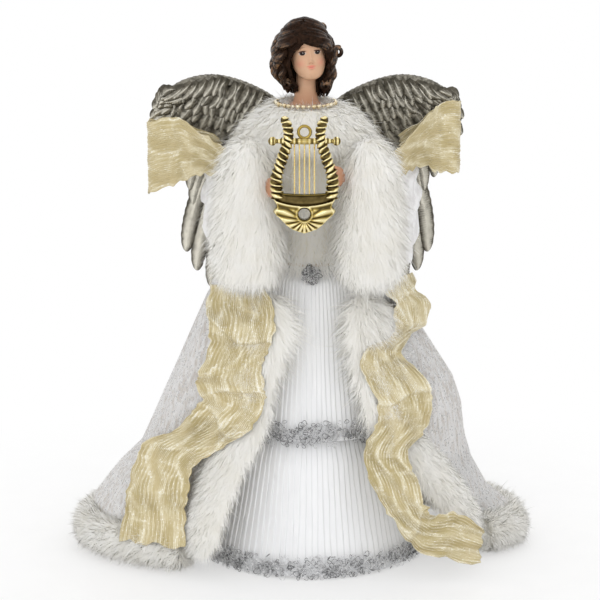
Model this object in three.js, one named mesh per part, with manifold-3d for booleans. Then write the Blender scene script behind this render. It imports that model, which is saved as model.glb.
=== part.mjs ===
// Angel tree topper, in millimetres: +Z is up, the front faces -Y, +X is the viewer's right.
// The origin is the centre of the rim of the card cone that slips over the tip of the tree.
import * as THREE from 'three';
import { mergeVertices } from 'three/addons/utils/BufferGeometryUtils.js';
import Module from 'manifold-3d';

const wasm = await Module();
wasm.setup();

// Clearances
const fitGap = 0.3;

// The pleated skirt, in two tiers
const waistHeight = 224;
const upperTierHemHeight = 99;
const tierOverlap = 17;
const waistGather = 9;
const skirtHemHeight = 1.5;
const skirtHemRadius = 88;
const skirtWaistRadius = 44;
const pleatCount = 54;
const pleatDepth = 1.8;
const clothThickness = 1;

// The looped metal braid along both hems, and the rosette of the same braid at the waist
const braidHalfHeight = 6.5;
const braidHalfDepth = 2.4;
const rosetteRadius = 7;
const rosetteHalfDepth = 3.2;

// The bodice, which stands on the waist
const bodiceHalfWidth = 43;
const bodiceHalfDepth = 37;
const bodiceLength = 88;
const bodiceTopHeight = waistHeight + bodiceLength;
const upperBodyShift = -4;

// The card cone, which ends inside the bodice
const coneBaseRadius = 75;
const coneTopRadius = 16;
const coneWall = 2.4;
const coneInset = 12;
const coneHeight = bodiceTopHeight - coneInset;

// The head
const neckRadius = 7.2;
const neckLength = 28;
const headHeight = 41;
const headHalfWidth = 12.8;
const headHalfDepth = 14.5;
const headForward = 5;
const chinRise = 48.5;
const chinHeight = bodiceTopHeight + chinRise;
const headTurnDegrees = 7;
const headTiltDegrees = 5;

// The shoulder plate under the head, from the cone's top to the throat
const yokeHalfWidth = 36;
const yokeHalfDepth = 21;
const yokePlugDepth = 12;
const throatLength = 15.5;
const yokeHeight = chinHeight - throatLength - coneHeight;

// The hair, moulded round the head
const hairRise = 45.9;
const hairFall = 11.5;
const hairTopHeight = chinHeight + hairRise;
const hairFallHeight = chinHeight - hairFall;
const hairHalfWidth = 24.5;
const hairHalfDepth = 21;
const hairCurlDepth = 1.6;
const hairCurlCount = 7;
const faceWindowHalfWidth = 13.4;
const faceWindowHalfHeight = 19;
const faceWindowRise = 7.5;
const faceWindowHeight = chinHeight + faceWindowRise;
const throatHalfWidth = 8.5;

// The bead necklace
const beadRadius = 1.5;
const beadCount = 22;

// The fur collar
const collarHalfWidth = 54;
const collarHalfDepth = 41;
const collarNeckWidth = 21;
const collarThickness = 6.5;
const collarDrop = 27;
const collarBelowChin = 9.5;
const collarBackHeight = chinHeight - collarBelowChin;
const collarFrontDip = 6;

// The arms, sleeves, fur cuffs and hands
const armWireRadius = 1.5;
const elbowSpread = 69;
const elbowForward = 24;
const sleeveWall = 1.4;
const sleeveBack = 3.5;
const sleeveRootRadius = 11.5;
const sleeveRootDrop = 15;
const sleeveRootHeight = bodiceTopHeight - sleeveRootDrop;
const armRootRise = 2;
const armRootHeight = sleeveRootHeight + armRootRise;
const sleeveSpread = 70;
const sleeveHalfWidth = 21;
const sleeveHalfHeight = 50;
const sleeveFoldDepth = 1.5;
const sleeveFoldCount = 5;
const sleeveSides = 20;
const cuffSpread = 45;
const cuffHalfWidth = 14;
const cuffHalfHeight = 42.5;
const cuffFurRadius = 11;
const cuffForward = 63;
const cuffDrop = 42;
const cuffHeight = bodiceTopHeight - cuffDrop;
const elbowDrop = 8;
const elbowHeight = cuffHeight - elbowDrop;
const forearmRadius = 3.8;
const palmHalfWidth = 4.6;
const palmHalfHeight = 7;
const fingerRadius = 1.6;
const fingerLength = 10;
const leftHandRise = 20;
const rightHandRise = 28;
const leftHandHeight = cuffHeight + leftHandRise;
const rightHandHeight = cuffHeight + rightHandRise;

// The coat
const coatTopDrop = 21;
const coatTopHeight = bodiceTopHeight - coatTopDrop;
const coatHalfWidthLeft = 170;
const coatHalfWidthRight = 157;
const coatHalfDepthBack = 110;
const coatThickness = 1.2;
const coatFoldDepth = 4;
const coatFoldCount = 11;

// The fur bands down the coat's open front and round its hem
const frontFurHalfWidth = 18;
const frontFurHalfDepth = 8.5;
const frontFurDrop = 11;
const frontFurTopHeight = waistHeight - frontFurDrop;
const coatOpenDrop = 5;
const coatOpenHeight = waistHeight - coatOpenDrop;
const coatOverlap = 23;
const coatClosedHeight = coatOpenHeight - coatOverlap;
const hemFurRadius = 14;
const hemFurLift = 1.8;

// The wings and the bracket that carries them
const wingCentre = -3;
const wingReach = 114;
const wingRise = 50;
const wingTopHeight = bodiceTopHeight + wingRise;
const wingTipDrop = 168;
const wingPlaneBack = 42;
const wingSweepForward = 6;
const featherHalfWidth = 9;
const featherHalfDepth = 2;
const wingArmHalfHeight = 10;
const wingArmHalfDepth = 4.5;
const bracketHalfWidth = 11;
const bracketHeight = 14;

// The crinkled ribbon: a loop round each arm, and a tail down each side
const ribbonWidth = 54;
const ribbonThickness = 0.8;
const ribbonCrinkle = 1.3;
const leftLoopReach = 123;
const rightLoopReach = 112;
const loopGatherRise = 28;
const leftLoopRise = 2;
const rightLoopRise = 18;
const loopGatherHeight = cuffHeight + loopGatherRise;
const leftLoopHeight = loopGatherHeight + leftLoopRise;
const rightLoopHeight = loopGatherHeight + rightLoopRise;
const tailLift = 2.9;
const tailSwing = 30;

// The lyre
const lyreCentre = -5.3;
const lyreForward = 90;
const lyreDrop = 11;
const lyreBaseHeight = cuffHeight - lyreDrop;
const lyreHeight = 84;
const lyreHalfWidth = 22;
const lyreDepth = 8;
const lyreArmRadius = 3.3;
const lyreBoxBevel = 1.2;
const lyreHoleRadius = 4.2;
const crossbarRadius = 2;
const crossbarKnobRadius = 2.9;
const crossbarHalfLength = 22.6;
const lyreRingRadius = 4.2;
const lyreRingWire = 1.1;
const stringRadius = 0.55;
const stringSpacing = 3.5;
const stringCount = 5;

const fullTurn = Math.PI * 2;
const quarterTurn = Math.PI / 2;
const at = (x, y, z) => new THREE.Vector3(x, y, z);
const mix = THREE.MathUtils.lerp;
const radians = THREE.MathUtils.degToRad;

// Linear lookup in a table of [place share, value, value ...] rows
function lookup(table, place, column = 1) {
  const last = table.length - 1;
  const above = Math.max(1, table.findIndex((row) => row[0] >= place));
  const index = place > table[last][0] ? last : above;
  const [low, high] = [table[index - 1], table[index]];
  const share = THREE.MathUtils.clamp((place - low[0]) / (high[0] - low[0]), 0, 1);
  return mix(low[column], high[column], share);
}

// Turns every face outward, whichever way round the rings were laid
function facingOut(geometry) {
  const { array } = geometry.attributes.position;
  const index = geometry.index.array;
  const corner = (place) => at(...array.slice(index[place] * 3, index[place] * 3 + 3));
  let volume = 0;
  for (let place = 0; place < index.length; place += 3) {
    volume += corner(place).dot(corner(place + 1).cross(corner(place + 2)));
  }
  if (volume < 0) {
    for (let place = 0; place < index.length; place += 3) {
      [index[place], index[place + 1]] = [index[place + 1], index[place]];
    }
  }
  return geometry;
}

// A closed solid skinned over rings of points: capped at both ends, or closing on itself
function skin(rings, closesOnItself = false) {
  const size = rings[0].length;
  const spans = closesOnItself ? rings.length : rings.length - 1;
  const indices = [];
  const addQuad = (a, b, c, d) => indices.push(a, b, c, a, c, d);
  for (let row = 0; row < spans; row += 1) {
    const here = row * size;
    const next = ((row + 1) % rings.length) * size;
    for (let column = 0; column < size; column += 1) {
      const beside = (column + 1) % size;
      addQuad(here + column, here + beside, next + beside, next + column);
    }
  }
  if (!closesOnItself) {
    const top = (rings.length - 1) * size;
    for (let column = 0; column < size / 2 - 1; column += 1) {
      const across = size - 1 - column;
      addQuad(column, across, across - 1, column + 1);
      addQuad(top + column, top + column + 1, top + across - 1, top + across);
    }
  }
  const geometry = new THREE.BufferGeometry();
  const positions = rings.flat().flatMap((point) => [point.x, point.y, point.z]);
  geometry.setAttribute('position', new THREE.Float32BufferAttribute(positions, 3));
  geometry.setIndex(indices);
  return facingOut(geometry);
}

// A ring of points on an oval, in the plane of two directions
function ring(centre, right, up, halfWidth, halfHeight, sides, growAt = () => 0) {
  return Array.from({ length: sides }, (_, side) => {
    const angle = ((side + 0.5) / sides) * fullTurn;
    const grow = growAt(angle);
    const point = centre.clone().addScaledVector(right, Math.cos(angle) * (halfWidth + grow));
    return point.addScaledVector(up, Math.sin(angle) * (halfHeight + grow));
  });
}

// From a ring's centre to the middle of one of its sides, which face up, down, left and right
const toFlat = (radius, sides) => radius * Math.cos(Math.PI / sides);

const alongX = at(1, 0, 0);
const alongY = at(0, 1, 0);
const alongZ = at(0, 0, 1);
const levelRing = (centre, halfWidth, halfDepth, sides, growAt) => (
  ring(centre, alongX, alongY, halfWidth, halfDepth, sides, growAt)
);

const neighbour = (list, place, step, wraps) => (
  wraps ? list[(place + step + list.length) % list.length]
    : list[THREE.MathUtils.clamp(place + step, 0, list.length - 1)]
);
const runAt = (list, place, wraps = false) => (
  neighbour(list, place, 1, wraps).clone().sub(neighbour(list, place, -1, wraps)).normalize()
);

// A bar of oval section along a path; its depth points outward, and its width lies across
function bar(path, halfSizesAt, outwardAt, sides, wraps = false) {
  const rings = path.map((point, place) => {
    const along = runAt(path, place, wraps);
    const across = along.clone().cross(outwardAt(point)).normalize();
    const outward = across.clone().cross(along).normalize();
    const [halfWidth, halfDepth] = halfSizesAt(place / (path.length - 1));
    return ring(point, across, outward, halfWidth, halfDepth, sides);
  });
  return skin(rings, wraps);
}

// Cloth of even thickness over a grid of points; each row can be given the way it faces
function cloth(grid, thickness, outwards = []) {
  const rings = grid.map((row, rowPlace) => {
    const front = [];
    const back = [];
    row.forEach((point, place) => {
      const line = grid.map((gridRow) => gridRow[place]);
      const outward = outwards[rowPlace] ?? runAt(row, place).cross(runAt(line, rowPlace));
      const offset = outward.clone().setLength(thickness / 2);
      front.push(point.clone().add(offset));
      back.unshift(point.clone().sub(offset));
    });
    return [...front, ...back];
  });
  return skin(rings);
}

const smoothPath = (points, steps) => new THREE.CatmullRomCurve3(points).getSpacedPoints(steps);
const roundEnds = (share, power) => (1 - Math.abs(2 * share - 1) ** power) ** (1 / power);
const fromAxis = (point) => at(point.x, point.y, 0);

// Manifold solids for cuts and joins
function solidOf(geometry) {
  const bare = geometry.clone();
  bare.deleteAttribute('normal');
  bare.deleteAttribute('uv');
  const merged = mergeVertices(bare);
  const mesh = new wasm.Mesh({
    numProp: 3,
    vertProperties: new Float32Array(merged.attributes.position.array),
    triVerts: new Uint32Array(merged.index.array),
  });
  return new wasm.Manifold(mesh);
}

function geometryOf(solid) {
  const { vertProperties, triVerts } = solid.getMesh();
  const geometry = new THREE.BufferGeometry();
  geometry.setAttribute('position', new THREE.Float32BufferAttribute(vertProperties, 3));
  geometry.setIndex(Array.from(triVerts));
  return geometry;
}

const joined = (geometries) => geometries.map(solidOf).reduce((whole, piece) => whole.add(piece));

// Surfaces that the pieces share
const coneRadiusAt = (height) => mix(coneBaseRadius, coneTopRadius, height / coneHeight);
const skirtRadiusAt = (height) => mix(skirtHemRadius, skirtWaistRadius, height / waistHeight);
// The skirt with its braid, as wide as the braid's own foot is
const trimmedSkirtRadiusAt = (height) => (
  skirtRadiusAt(height - braidHalfHeight * 2) + braidHalfDepth * 2 + fitGap * 2
);

const coneSides = 48;

function bodyCone() {
  const profile = [
    [coneBaseRadius - coneWall, 0],
    [coneBaseRadius, 0],
    [coneTopRadius, coneHeight],
    [coneTopRadius - coneWall, coneHeight],
    [coneBaseRadius - coneWall, 0],
  ];
  return new THREE.LatheGeometry(profile.map(([r, z]) => new THREE.Vector2(r, z)), coneSides)
    .rotateX(quarterTurn);
}

// One tier of the skirt: knife pleats that open towards the hem
function skirtTier(rows) {
  const pleatedRing = ([height, radius, depth], inset) => (
    Array.from({ length: pleatCount * 2 }, (_, fold) => {
      const angle = ((fold + 0.5) / (pleatCount * 2)) * fullTurn;
      const reach = radius - inset - (fold % 2) * depth;
      return at(Math.cos(angle) * reach, Math.sin(angle) * reach, height);
    })
  );
  const outside = rows.map((row) => pleatedRing(row, 0));
  const inside = rows.map((row) => pleatedRing(row, clothThickness)).reverse();
  return skin([...outside, ...inside], true);
}

const seatOnCone = (height) => coneRadiusAt(height) + fitGap + clothThickness;
const lowerTierBend = upperTierHemHeight - tierOverlap;
const lowerTierTop = upperTierHemHeight + tierOverlap;
const tierStep = pleatDepth + clothThickness + fitGap;

const lowerTier = () => skirtTier([
  [skirtHemHeight, skirtHemRadius, pleatDepth],
  [lowerTierBend, skirtRadiusAt(lowerTierBend) - tierStep, pleatDepth],
  [lowerTierTop, seatOnCone(lowerTierTop), 0],
]);

const upperTier = () => skirtTier([
  [upperTierHemHeight, skirtRadiusAt(upperTierHemHeight), pleatDepth],
  [waistHeight - waistGather, skirtRadiusAt(waistHeight - waistGather), pleatDepth],
  [waistHeight, seatOnCone(waistHeight), 0],
]);

const braidSides = 36;

// A band of braid round the skirt, its middle at one height
function braidBand(height) {
  const seat = skirtRadiusAt(height) + fitGap + braidHalfDepth;
  const radius = seat / toFlat(1, braidSides);
  const path = levelRing(at(0, 0, height), radius, radius, braidSides);
  return bar(path, () => [braidHalfHeight, braidHalfDepth], fromAxis, 6, true);
}
const lowerBraidHeight = skirtHemHeight + braidHalfHeight;
const upperBraidHeight = upperTierHemHeight + braidHalfHeight;

// The rosette: a ring of coiled braid, standing on the front of the skirt's waist
const petalCount = 6;
const petalShare = 0.1;
// Rows of radius share and depth share, from its back to its front
const rosetteShares = [[0.7, -1], [1, -0.4], [1, 0.4], [0.6, 1]];

function waistRosette() {
  const height = waistHeight - rosetteHalfDepth;
  const front = -skirtRadiusAt(waistHeight - waistGather / 2) - fitGap - rosetteHalfDepth;
  const petals = (angle) => Math.cos(angle * petalCount) * rosetteRadius * petalShare;
  return skin(rosetteShares.map(([share, depthShare]) => ring(
    at(0, front - rosetteHalfDepth * depthShare, height),
    alongX, alongZ, rosetteRadius * share, rosetteRadius * share, petalCount * 4, petals,
  )));
}

// Rows of height share, width share and depth share
const bodiceShares = [
  [0, 0.84, 0.94], [0.3, 0.86, 0.92], [0.62, 1, 1], [0.86, 0.96, 0.86], [1, 0.92, 0.66],
];

const bodiceShareAt = (height, column) => (
  lookup(bodiceShares, (height - waistHeight) / (bodiceTopHeight - waistHeight), column)
);
const rootWidthShare = bodiceShareAt(sleeveRootHeight - sleeveRootRadius, 1);
const sleeveRootSpread = bodiceHalfWidth * rootWidthShare + fitGap;

// The cone, grown by the clearance, cuts the seat of what it carries
function coneRoom() {
  return skin([0, coneHeight + fitGap].map((height) => {
    const radius = coneRadiusAt(height) + fitGap;
    return levelRing(at(0, 0, height), radius, radius, coneSides);
  }));
}

function bodiceShape(grow = 0) {
  const base = waistHeight + fitGap - grow;
  return skin(bodiceShares.map(([share, wide, deep]) => levelRing(
    at(0, 0, mix(base, bodiceTopHeight + grow, share)),
    bodiceHalfWidth * wide + grow, bodiceHalfDepth * deep + grow, 28,
  )));
}

// The padded bodice wraps the cone and the foot of the shoulder plate
function bodice() {
  const room = joined([coneRoom(), yokeShape(fitGap)]);
  return geometryOf(solidOf(bodiceShape()).subtract(room));
}

// Rows of height share, width share, depth share
const yokeShares = [[0, 1, 1], [0.38, 0.96, 0.95], [0.62, 0.8, 0.82], [0.82, 0.5, 0.62], [1, 0.2, 0.36]];
// Rows of height share, width share, depth share, and how far forward as a share of the half depth
const headShares = [
  [0, 0.2, 0.2, 0.62], [0.04, 0.42, 0.38, 0.58], [0.12, 0.62, 0.56, 0.4], [0.25, 0.82, 0.76, 0.2],
  [0.42, 0.94, 0.92, 0.06], [0.6, 1, 1, 0], [0.76, 0.96, 0.98, 0], [0.88, 0.78, 0.8, 0],
  [0.96, 0.48, 0.5, 0], [1, 0.16, 0.16, 0],
];

const headTiltShare = 0.24;
const neckTopShare = 0.2;
const neckFlareShare = 1.12;

// The skull, face forward, in its own place on the neck; it can be grown to cut room in the hair
function headShape(grow = 0) {
  const rings = headShares.map(([share, wide, deep, forward]) => levelRing(
    at(0, -headHalfDepth * forward, headHeight * share - grow + 2 * grow * share),
    headHalfWidth * wide + grow, headHalfDepth * deep + grow, 20,
  ));
  return skin(rings)
    .rotateZ(radians(headTurnDegrees))
    .rotateY(radians(-headTiltDegrees))
    .translate(upperBodyShift + headHalfWidth * headTiltShare, -headForward, chinHeight);
}

function neckShape(grow = 0) {
  const top = chinHeight + headHeight * neckTopShare;
  const path = [at(upperBodyShift, 0, top - neckLength), at(upperBodyShift, -headForward / 2, top)];
  const flare = (share) => neckRadius * mix(neckFlareShare, 1, share) + grow;
  return bar(path, (share) => [flare(share), flare(share)], () => alongY, 20);
}

function yokeShape(grow = 0) {
  const base = coneHeight + fitGap;
  const rings = yokeShares.map(([share, wide, deep]) => levelRing(
    at(upperBodyShift * share, 0, base + yokeHeight * share - grow * (1 - 2 * share)),
    yokeHalfWidth * wide + grow, yokeHalfDepth * deep + grow, 20,
  ));
  return skin(rings);
}

// Head, neck, shoulder plate and the plug that drops into the cone, moulded in one
function bustHead() {
  const plugRadius = coneTopRadius - coneWall - fitGap;
  const plugBase = coneHeight - yokePlugDepth;
  const plug = skin([plugBase, coneHeight + coneWall].map((height) => (
    levelRing(at(0, 0, height), plugRadius, plugRadius, 20)
  )));
  return geometryOf(joined([yokeShape(), neckShape(), headShape(), plug]));
}

// Rows of height share, width share, depth share
const hairShares = [
  [0, 0.44, 0.42], [0.1, 0.62, 0.62], [0.24, 0.9, 0.86], [0.4, 1, 1], [0.58, 1, 1],
  [0.74, 0.88, 0.94], [0.88, 0.6, 0.68], [0.96, 0.32, 0.38], [1, 0.08, 0.1],
];

const hairForwardShare = 0.4;
const windowDepthShare = 0.1;

// The moulded hair, with an arch left open for the face and room cut for the head and neck
function hair() {
  const curlAt = (share) => (angle) => (
    hairCurlDepth * Math.sin(angle * hairCurlCount + share * fullTurn * 2) * roundEnds(share, 2)
  );
  const blob = skin(hairShares.map(([share, wide, deep]) => levelRing(
    at(upperBodyShift, -headForward * hairForwardShare, mix(hairFallHeight, hairTopHeight, share)),
    hairHalfWidth * wide, hairHalfDepth * deep, 24, curlAt(share),
  )));
  const front = -hairHalfDepth * 2;
  const back = -headForward - headHalfDepth * windowDepthShare;
  const opening = (halfWidth, halfHeight, height) => (
    bar([at(0, front, 0), at(0, back, 0)], () => [halfWidth, halfHeight], () => alongZ, 20)
      .rotateY(radians(-headTiltDegrees))
      .translate(upperBodyShift + headHalfWidth * headTiltShare, 0, height)
  );
  const faceWindow = opening(faceWindowHalfWidth, faceWindowHalfHeight, faceWindowHeight);
  const throat = opening(throatHalfWidth, faceWindowHalfHeight, hairFallHeight);
  const room = joined([headShape(fitGap), neckShape(fitGap), yokeShape(fitGap), faceWindow, throat]);
  return geometryOf(solidOf(blob).subtract(room));
}

// The collar's slope at one angle round the neck: its inner and outer edges and its middle line
function collarSlope(angle) {
  const outward = at(Math.cos(angle), Math.sin(angle), 0);
  const neck = at(upperBodyShift, -headForward, 0);
  const innerHeight = collarBackHeight - collarThickness - (collarFrontDip * (1 - outward.y)) / 2;
  const inner = outward.clone().multiplyScalar(collarNeckWidth).add(neck).setZ(innerHeight);
  const outer = at(
    outward.x * (collarHalfWidth - collarThickness),
    outward.y * (collarHalfDepth - collarThickness),
    0,
  ).add(neck).setZ(innerHeight - collarDrop);
  const slope = outer.clone().sub(inner);
  const reach = (slope.length() + collarThickness) / 2;
  slope.normalize();
  const normal = slope.clone().cross(outward.clone().cross(alongZ)).normalize();
  return { middle: inner.clone().lerp(outer, 0.5), slope, normal, reach };
}

const angleRound = (place, count) => ((place + 0.5) / count) * fullTurn;

const collarSides = 28;
const collarProfileSides = 8;

// The fur collar: a sloping ring that lies on the shoulders
function furCollar() {
  const rings = Array.from({ length: collarSides }, (_, side) => {
    const { middle, slope, normal, reach } = collarSlope(angleRound(side, collarSides));
    return ring(middle, slope, normal, reach, collarThickness, collarProfileSides);
  });
  const room = joined([yokeShape(fitGap), bodiceShape(fitGap)]);
  return geometryOf(solidOf(skin(rings, true)).subtract(room));
}

const threadShare = 0.6;

// The beads on their thread lie along the collar's inner edge
function necklace() {
  const steps = beadCount * 2;
  const path = Array.from({ length: steps }, (_, step) => {
    const { middle, slope, reach } = collarSlope(angleRound(step, steps));
    return middle.addScaledVector(slope, -(toFlat(reach, collarProfileSides) + beadRadius + fitGap));
  });
  const rings = path.map((point, place) => {
    const across = runAt(path, place, true).cross(alongZ).normalize();
    const radius = beadRadius * (place % 2 ? 1 : threadShare);
    return ring(point, across, alongZ, radius, radius, 5);
  });
  return skin(rings, true);
}

const sideName = (side) => (side < 0 ? 'left' : 'right');

// Places that the arm, sleeve and cuff share
const cuffSides = 8;
const cuffHoleForward = cuffForward + cuffFurRadius;
const handHeightAt = (side) => (side < 0 ? leftHandHeight : rightHandHeight);
const wristAt = (side) => (
  at(side * cuffSpread, -cuffHoleForward - fitGap, handHeightAt(side) - palmHalfHeight)
);
const lyreWaistShare = 0.88;
const lyreArmCentreAt = (side) => lyreCentre + side * lyreHalfWidth * lyreWaistShare;

// Shares of the way: out to the elbow, up to the shoulder, and out from the cuff to the elbow
const armBendShares = { out: 0.5, up: 0.75, inCuff: 0.15 };

// Each arm: a wire from the bodice's side, bent at the elbow, through the cuff to the wrist
function armWire(side) {
  const { out, up, inCuff } = armBendShares;
  const shoulder = [mix(sleeveRootSpread, elbowSpread, out), mix(elbowHeight, armRootHeight, up)];
  const path = smoothPath([
    at(side * sleeveRootSpread, sleeveBack - sleeveRootRadius, armRootHeight),
    at(side * shoulder[0], -sleeveRootRadius, shoulder[1]),
    at(side * elbowSpread, -elbowForward, elbowHeight),
    at(side * mix(cuffSpread, elbowSpread, inCuff), -cuffForward + cuffFurRadius, cuffHeight),
    wristAt(side),
  ], 14);
  return bar(path, () => [armWireRadius, armWireRadius], () => alongX, 6);
}

// Shares of the way from the wrist to the palm, of a finger's length, and of a finger's thickness
const forearmBendShares = [0.5, 0.6, 0.4];
const forearmTaperShare = 0.75;
const forearmSides = 8;
const knuckleShare = 0.35;
const fingertipShare = 0.8;
const fingertipDropShare = 1.3;
const fingerTaperShare = 0.7;
const fingerSpreadShare = 0.8;

// The hand: a short forearm from the wrist, a palm beside the lyre's arm, a thumb and four fingers
function hand(side) {
  const wrist = wristAt(side);
  const grip = lyreArmCentreAt(side) + side * lyreArmRadius;
  const palm = at(grip + side * palmHalfWidth, -lyreForward + forearmRadius, handHeightAt(side));
  const start = at(wrist.x, wrist.y - toFlat(forearmRadius, forearmSides) - fitGap, wrist.z);
  const [bendX, bendY, bendZ] = forearmBendShares;
  const bend = at(mix(start.x, palm.x, bendX), mix(start.y, palm.y, bendY), mix(start.z, palm.z, bendZ));
  const forearm = bar(smoothPath([start, bend, palm], 4), (share) => {
    const radius = forearmRadius * mix(1, forearmTaperShare, share);
    return [radius, radius];
  }, () => alongZ, forearmSides);
  const palmBody = new THREE.SphereGeometry(1, 8, 6)
    .scale(palmHalfWidth, forearmRadius, palmHalfHeight)
    .translate(palm.x, palm.y, palm.z);
  const digit = (drop, lift) => {
    const root = palm.clone().add(at(0, 0, drop));
    const forward = -forearmRadius * fingertipDropShare;
    const knuckle = root.clone().add(at(-side * fingerLength * knuckleShare, -forearmRadius, lift / 2));
    const tip = root.clone().add(at(-side * fingerLength * fingertipShare, forward, lift));
    return bar([root, knuckle, tip], (share) => {
      const radius = fingerRadius * mix(1, fingerTaperShare, share);
      return [radius, radius];
    }, () => alongZ, 6);
  };
  const spread = palmHalfHeight * fingerSpreadShare;
  const fingers = [0, 1, 2, 3].map((place) => digit(mix(-spread, spread, (place + 0.5) / 4), 0));
  const thumb = digit(spread, palmHalfHeight / 2);
  const whole = joined([forearm, palmBody, thumb, ...fingers]);
  return geometryOf(whole.subtract(solidOf(lyreArm(side, fitGap))));
}

// Shares down the sleeve, from its root to its mouth: the way out, the way forward from the sleeve's
// back to its mouth, the way up from the cuff's middle to the root, the turn of its width from fore
// and aft to sideways, the width, the height, and the depth of its folds
const sleeveShares = [
  [0.45, 0.22, 0.75, 0.3, 0.55, 0.34, 0],
  [0.9, 0.34, 0, 0.5, 0.9, 0.9, 0.6],
  [0.9, 0.55, 0, 0.5, 1, 1, 1],
];

// The sleeve: a shell that widens from the shoulder to the tall opening behind the cuff
function sleeve(side) {
  const mouth = -cuffForward + toFlat(cuffFurRadius, cuffSides) + fitGap;
  const root = at(side * sleeveRootSpread, sleeveBack - sleeveRootRadius, sleeveRootHeight);
  const between = sleeveShares.map(([out, forward, up, turn, wide, high, folds]) => {
    const centre = at(
      side * mix(sleeveRootSpread, sleeveSpread, out),
      mix(sleeveBack, mouth, forward),
      mix(cuffHeight, sleeveRootHeight, up),
    );
    const right = at(side * Math.sin(turn * quarterTurn), Math.cos(turn * quarterTurn), 0);
    return [centre, right, sleeveHalfWidth * wide, sleeveHalfHeight * high, folds];
  });
  const sizes = [
    [root, alongY, sleeveRootRadius, sleeveRootRadius, 0],
    ...between,
    [at(side * cuffSpread, mouth, cuffHeight), at(side, 0, 0), cuffHalfWidth, cuffHalfHeight, 0],
  ];
  const layer = (inset) => sizes.map(([centre, right, halfWidth, halfHeight, folds]) => (
    ring(centre, right, alongZ, halfWidth - inset, halfHeight - inset, sleeveSides, (angle) => (
      sleeveFoldDepth * folds * Math.sin(angle * sleeveFoldCount)
    ))
  ));
  return skin([...layer(sleeveWall), ...layer(0).reverse()], true);
}

// The fur cuff: a tall oval roll in front of the sleeve's opening
function furCuff(side) {
  const centre = at(side * cuffSpread, -cuffForward, cuffHeight);
  const path = ring(centre, alongX, alongZ, cuffHalfWidth, cuffHalfHeight, 22);
  const sizes = () => [cuffFurRadius, cuffFurRadius];
  return bar(path, sizes, (point) => point.clone().sub(centre), cuffSides, true);
}

// Rows down each front edge: height share of the fur's top, degrees round from the front, and how far
// it stands off the skirt as a share of the skirt's hem radius
const frontFurShares = {
  left: [
    [0.08, 44.3, 0.16], [0.24, 43.5, 0.15], [0.42, 41, 0.04], [0.55, 34, 0], [0.78, 31, 0], [1, 31, 0],
  ],
  right: [
    [0.1, 70, 0.36], [0.26, 63, 0.24], [0.42, 51, 0.1], [0.55, 41, 0.01], [0.78, 37, 0], [1, 35, 0],
  ],
};

function frontFurPath(side) {
  const places = frontFurShares[sideName(side)].map(([heightShare, degrees, standShare]) => {
    const height = frontFurTopHeight * heightShare;
    const seat = trimmedSkirtRadiusAt(height) + fitGap + frontFurHalfDepth;
    const reach = seat + skirtHemRadius * standShare;
    const angle = radians(degrees);
    return at(side * Math.sin(angle) * reach, -Math.cos(angle) * reach, height);
  });
  return smoothPath(places, 14);
}

const endShare = 0.35;

function frontFur(side, grow = 0) {
  const sizes = (share) => {
    const round = Math.max(roundEnds(share, 6), endShare);
    return [frontFurHalfWidth * round + grow, frontFurHalfDepth * round + grow];
  };
  return bar(frontFurPath(side), sizes, fromAxis, 10);
}

// The far side of a fur band, where the coat's cloth begins, as [height, x, y] rows
function furSideRows(side) {
  const path = frontFurPath(side);
  return path.map((point, place) => {
    const across = runAt(path, place).cross(fromAxis(point)).normalize();
    const away = across.multiplyScalar(Math.sign(across.x) * side * (frontFurHalfWidth + fitGap));
    const edge = point.clone().add(away);
    return [edge.z, edge.x, edge.y];
  });
}

// The coat's top is sewn round the bodice
const seamGap = fitGap + coatThickness;
const coatTopHalfWidth = bodiceHalfWidth * bodiceShareAt(coatTopHeight, 1) + seamGap;
const coatTopHalfDepth = bodiceHalfDepth * bodiceShareAt(coatTopHeight, 2) + seamGap;

// The coat's half sizes: rows of height share of its top, and share of the half size at the hem
const coatShares = {
  left: [
    [0.12, 1], [0.17, 0.94], [0.22, 0.87], [0.27, 0.78], [0.5, 0.6], [0.71, 0.44], [0.86, 0.36],
    [1, coatTopHalfWidth / coatHalfWidthLeft],
  ],
  right: [
    [0.1, 1], [0.15, 0.88], [0.24, 0.79], [0.38, 0.74], [0.46, 0.69], [0.61, 0.51], [0.71, 0.46],
    [0.86, 0.38], [1, coatTopHalfWidth / coatHalfWidthRight],
  ],
  back: [
    [0.1, 1], [0.34, 0.78], [0.69, 0.545], [0.78, 0.49], [0.86, 0.41],
    [1, coatTopHalfDepth / coatHalfDepthBack],
  ],
};
const coatHemHeight = hemFurLift + hemFurRadius * 2 + fitGap + coatThickness / 2;
const coatColumns = 39;

const coatHalfWidthAt = (side, height) => (
  side < 0 ? coatHalfWidthLeft * lookup(coatShares.left, height / coatTopHeight)
    : coatHalfWidthRight * lookup(coatShares.right, height / coatTopHeight)
);

const outlineSteps = 24;

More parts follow.
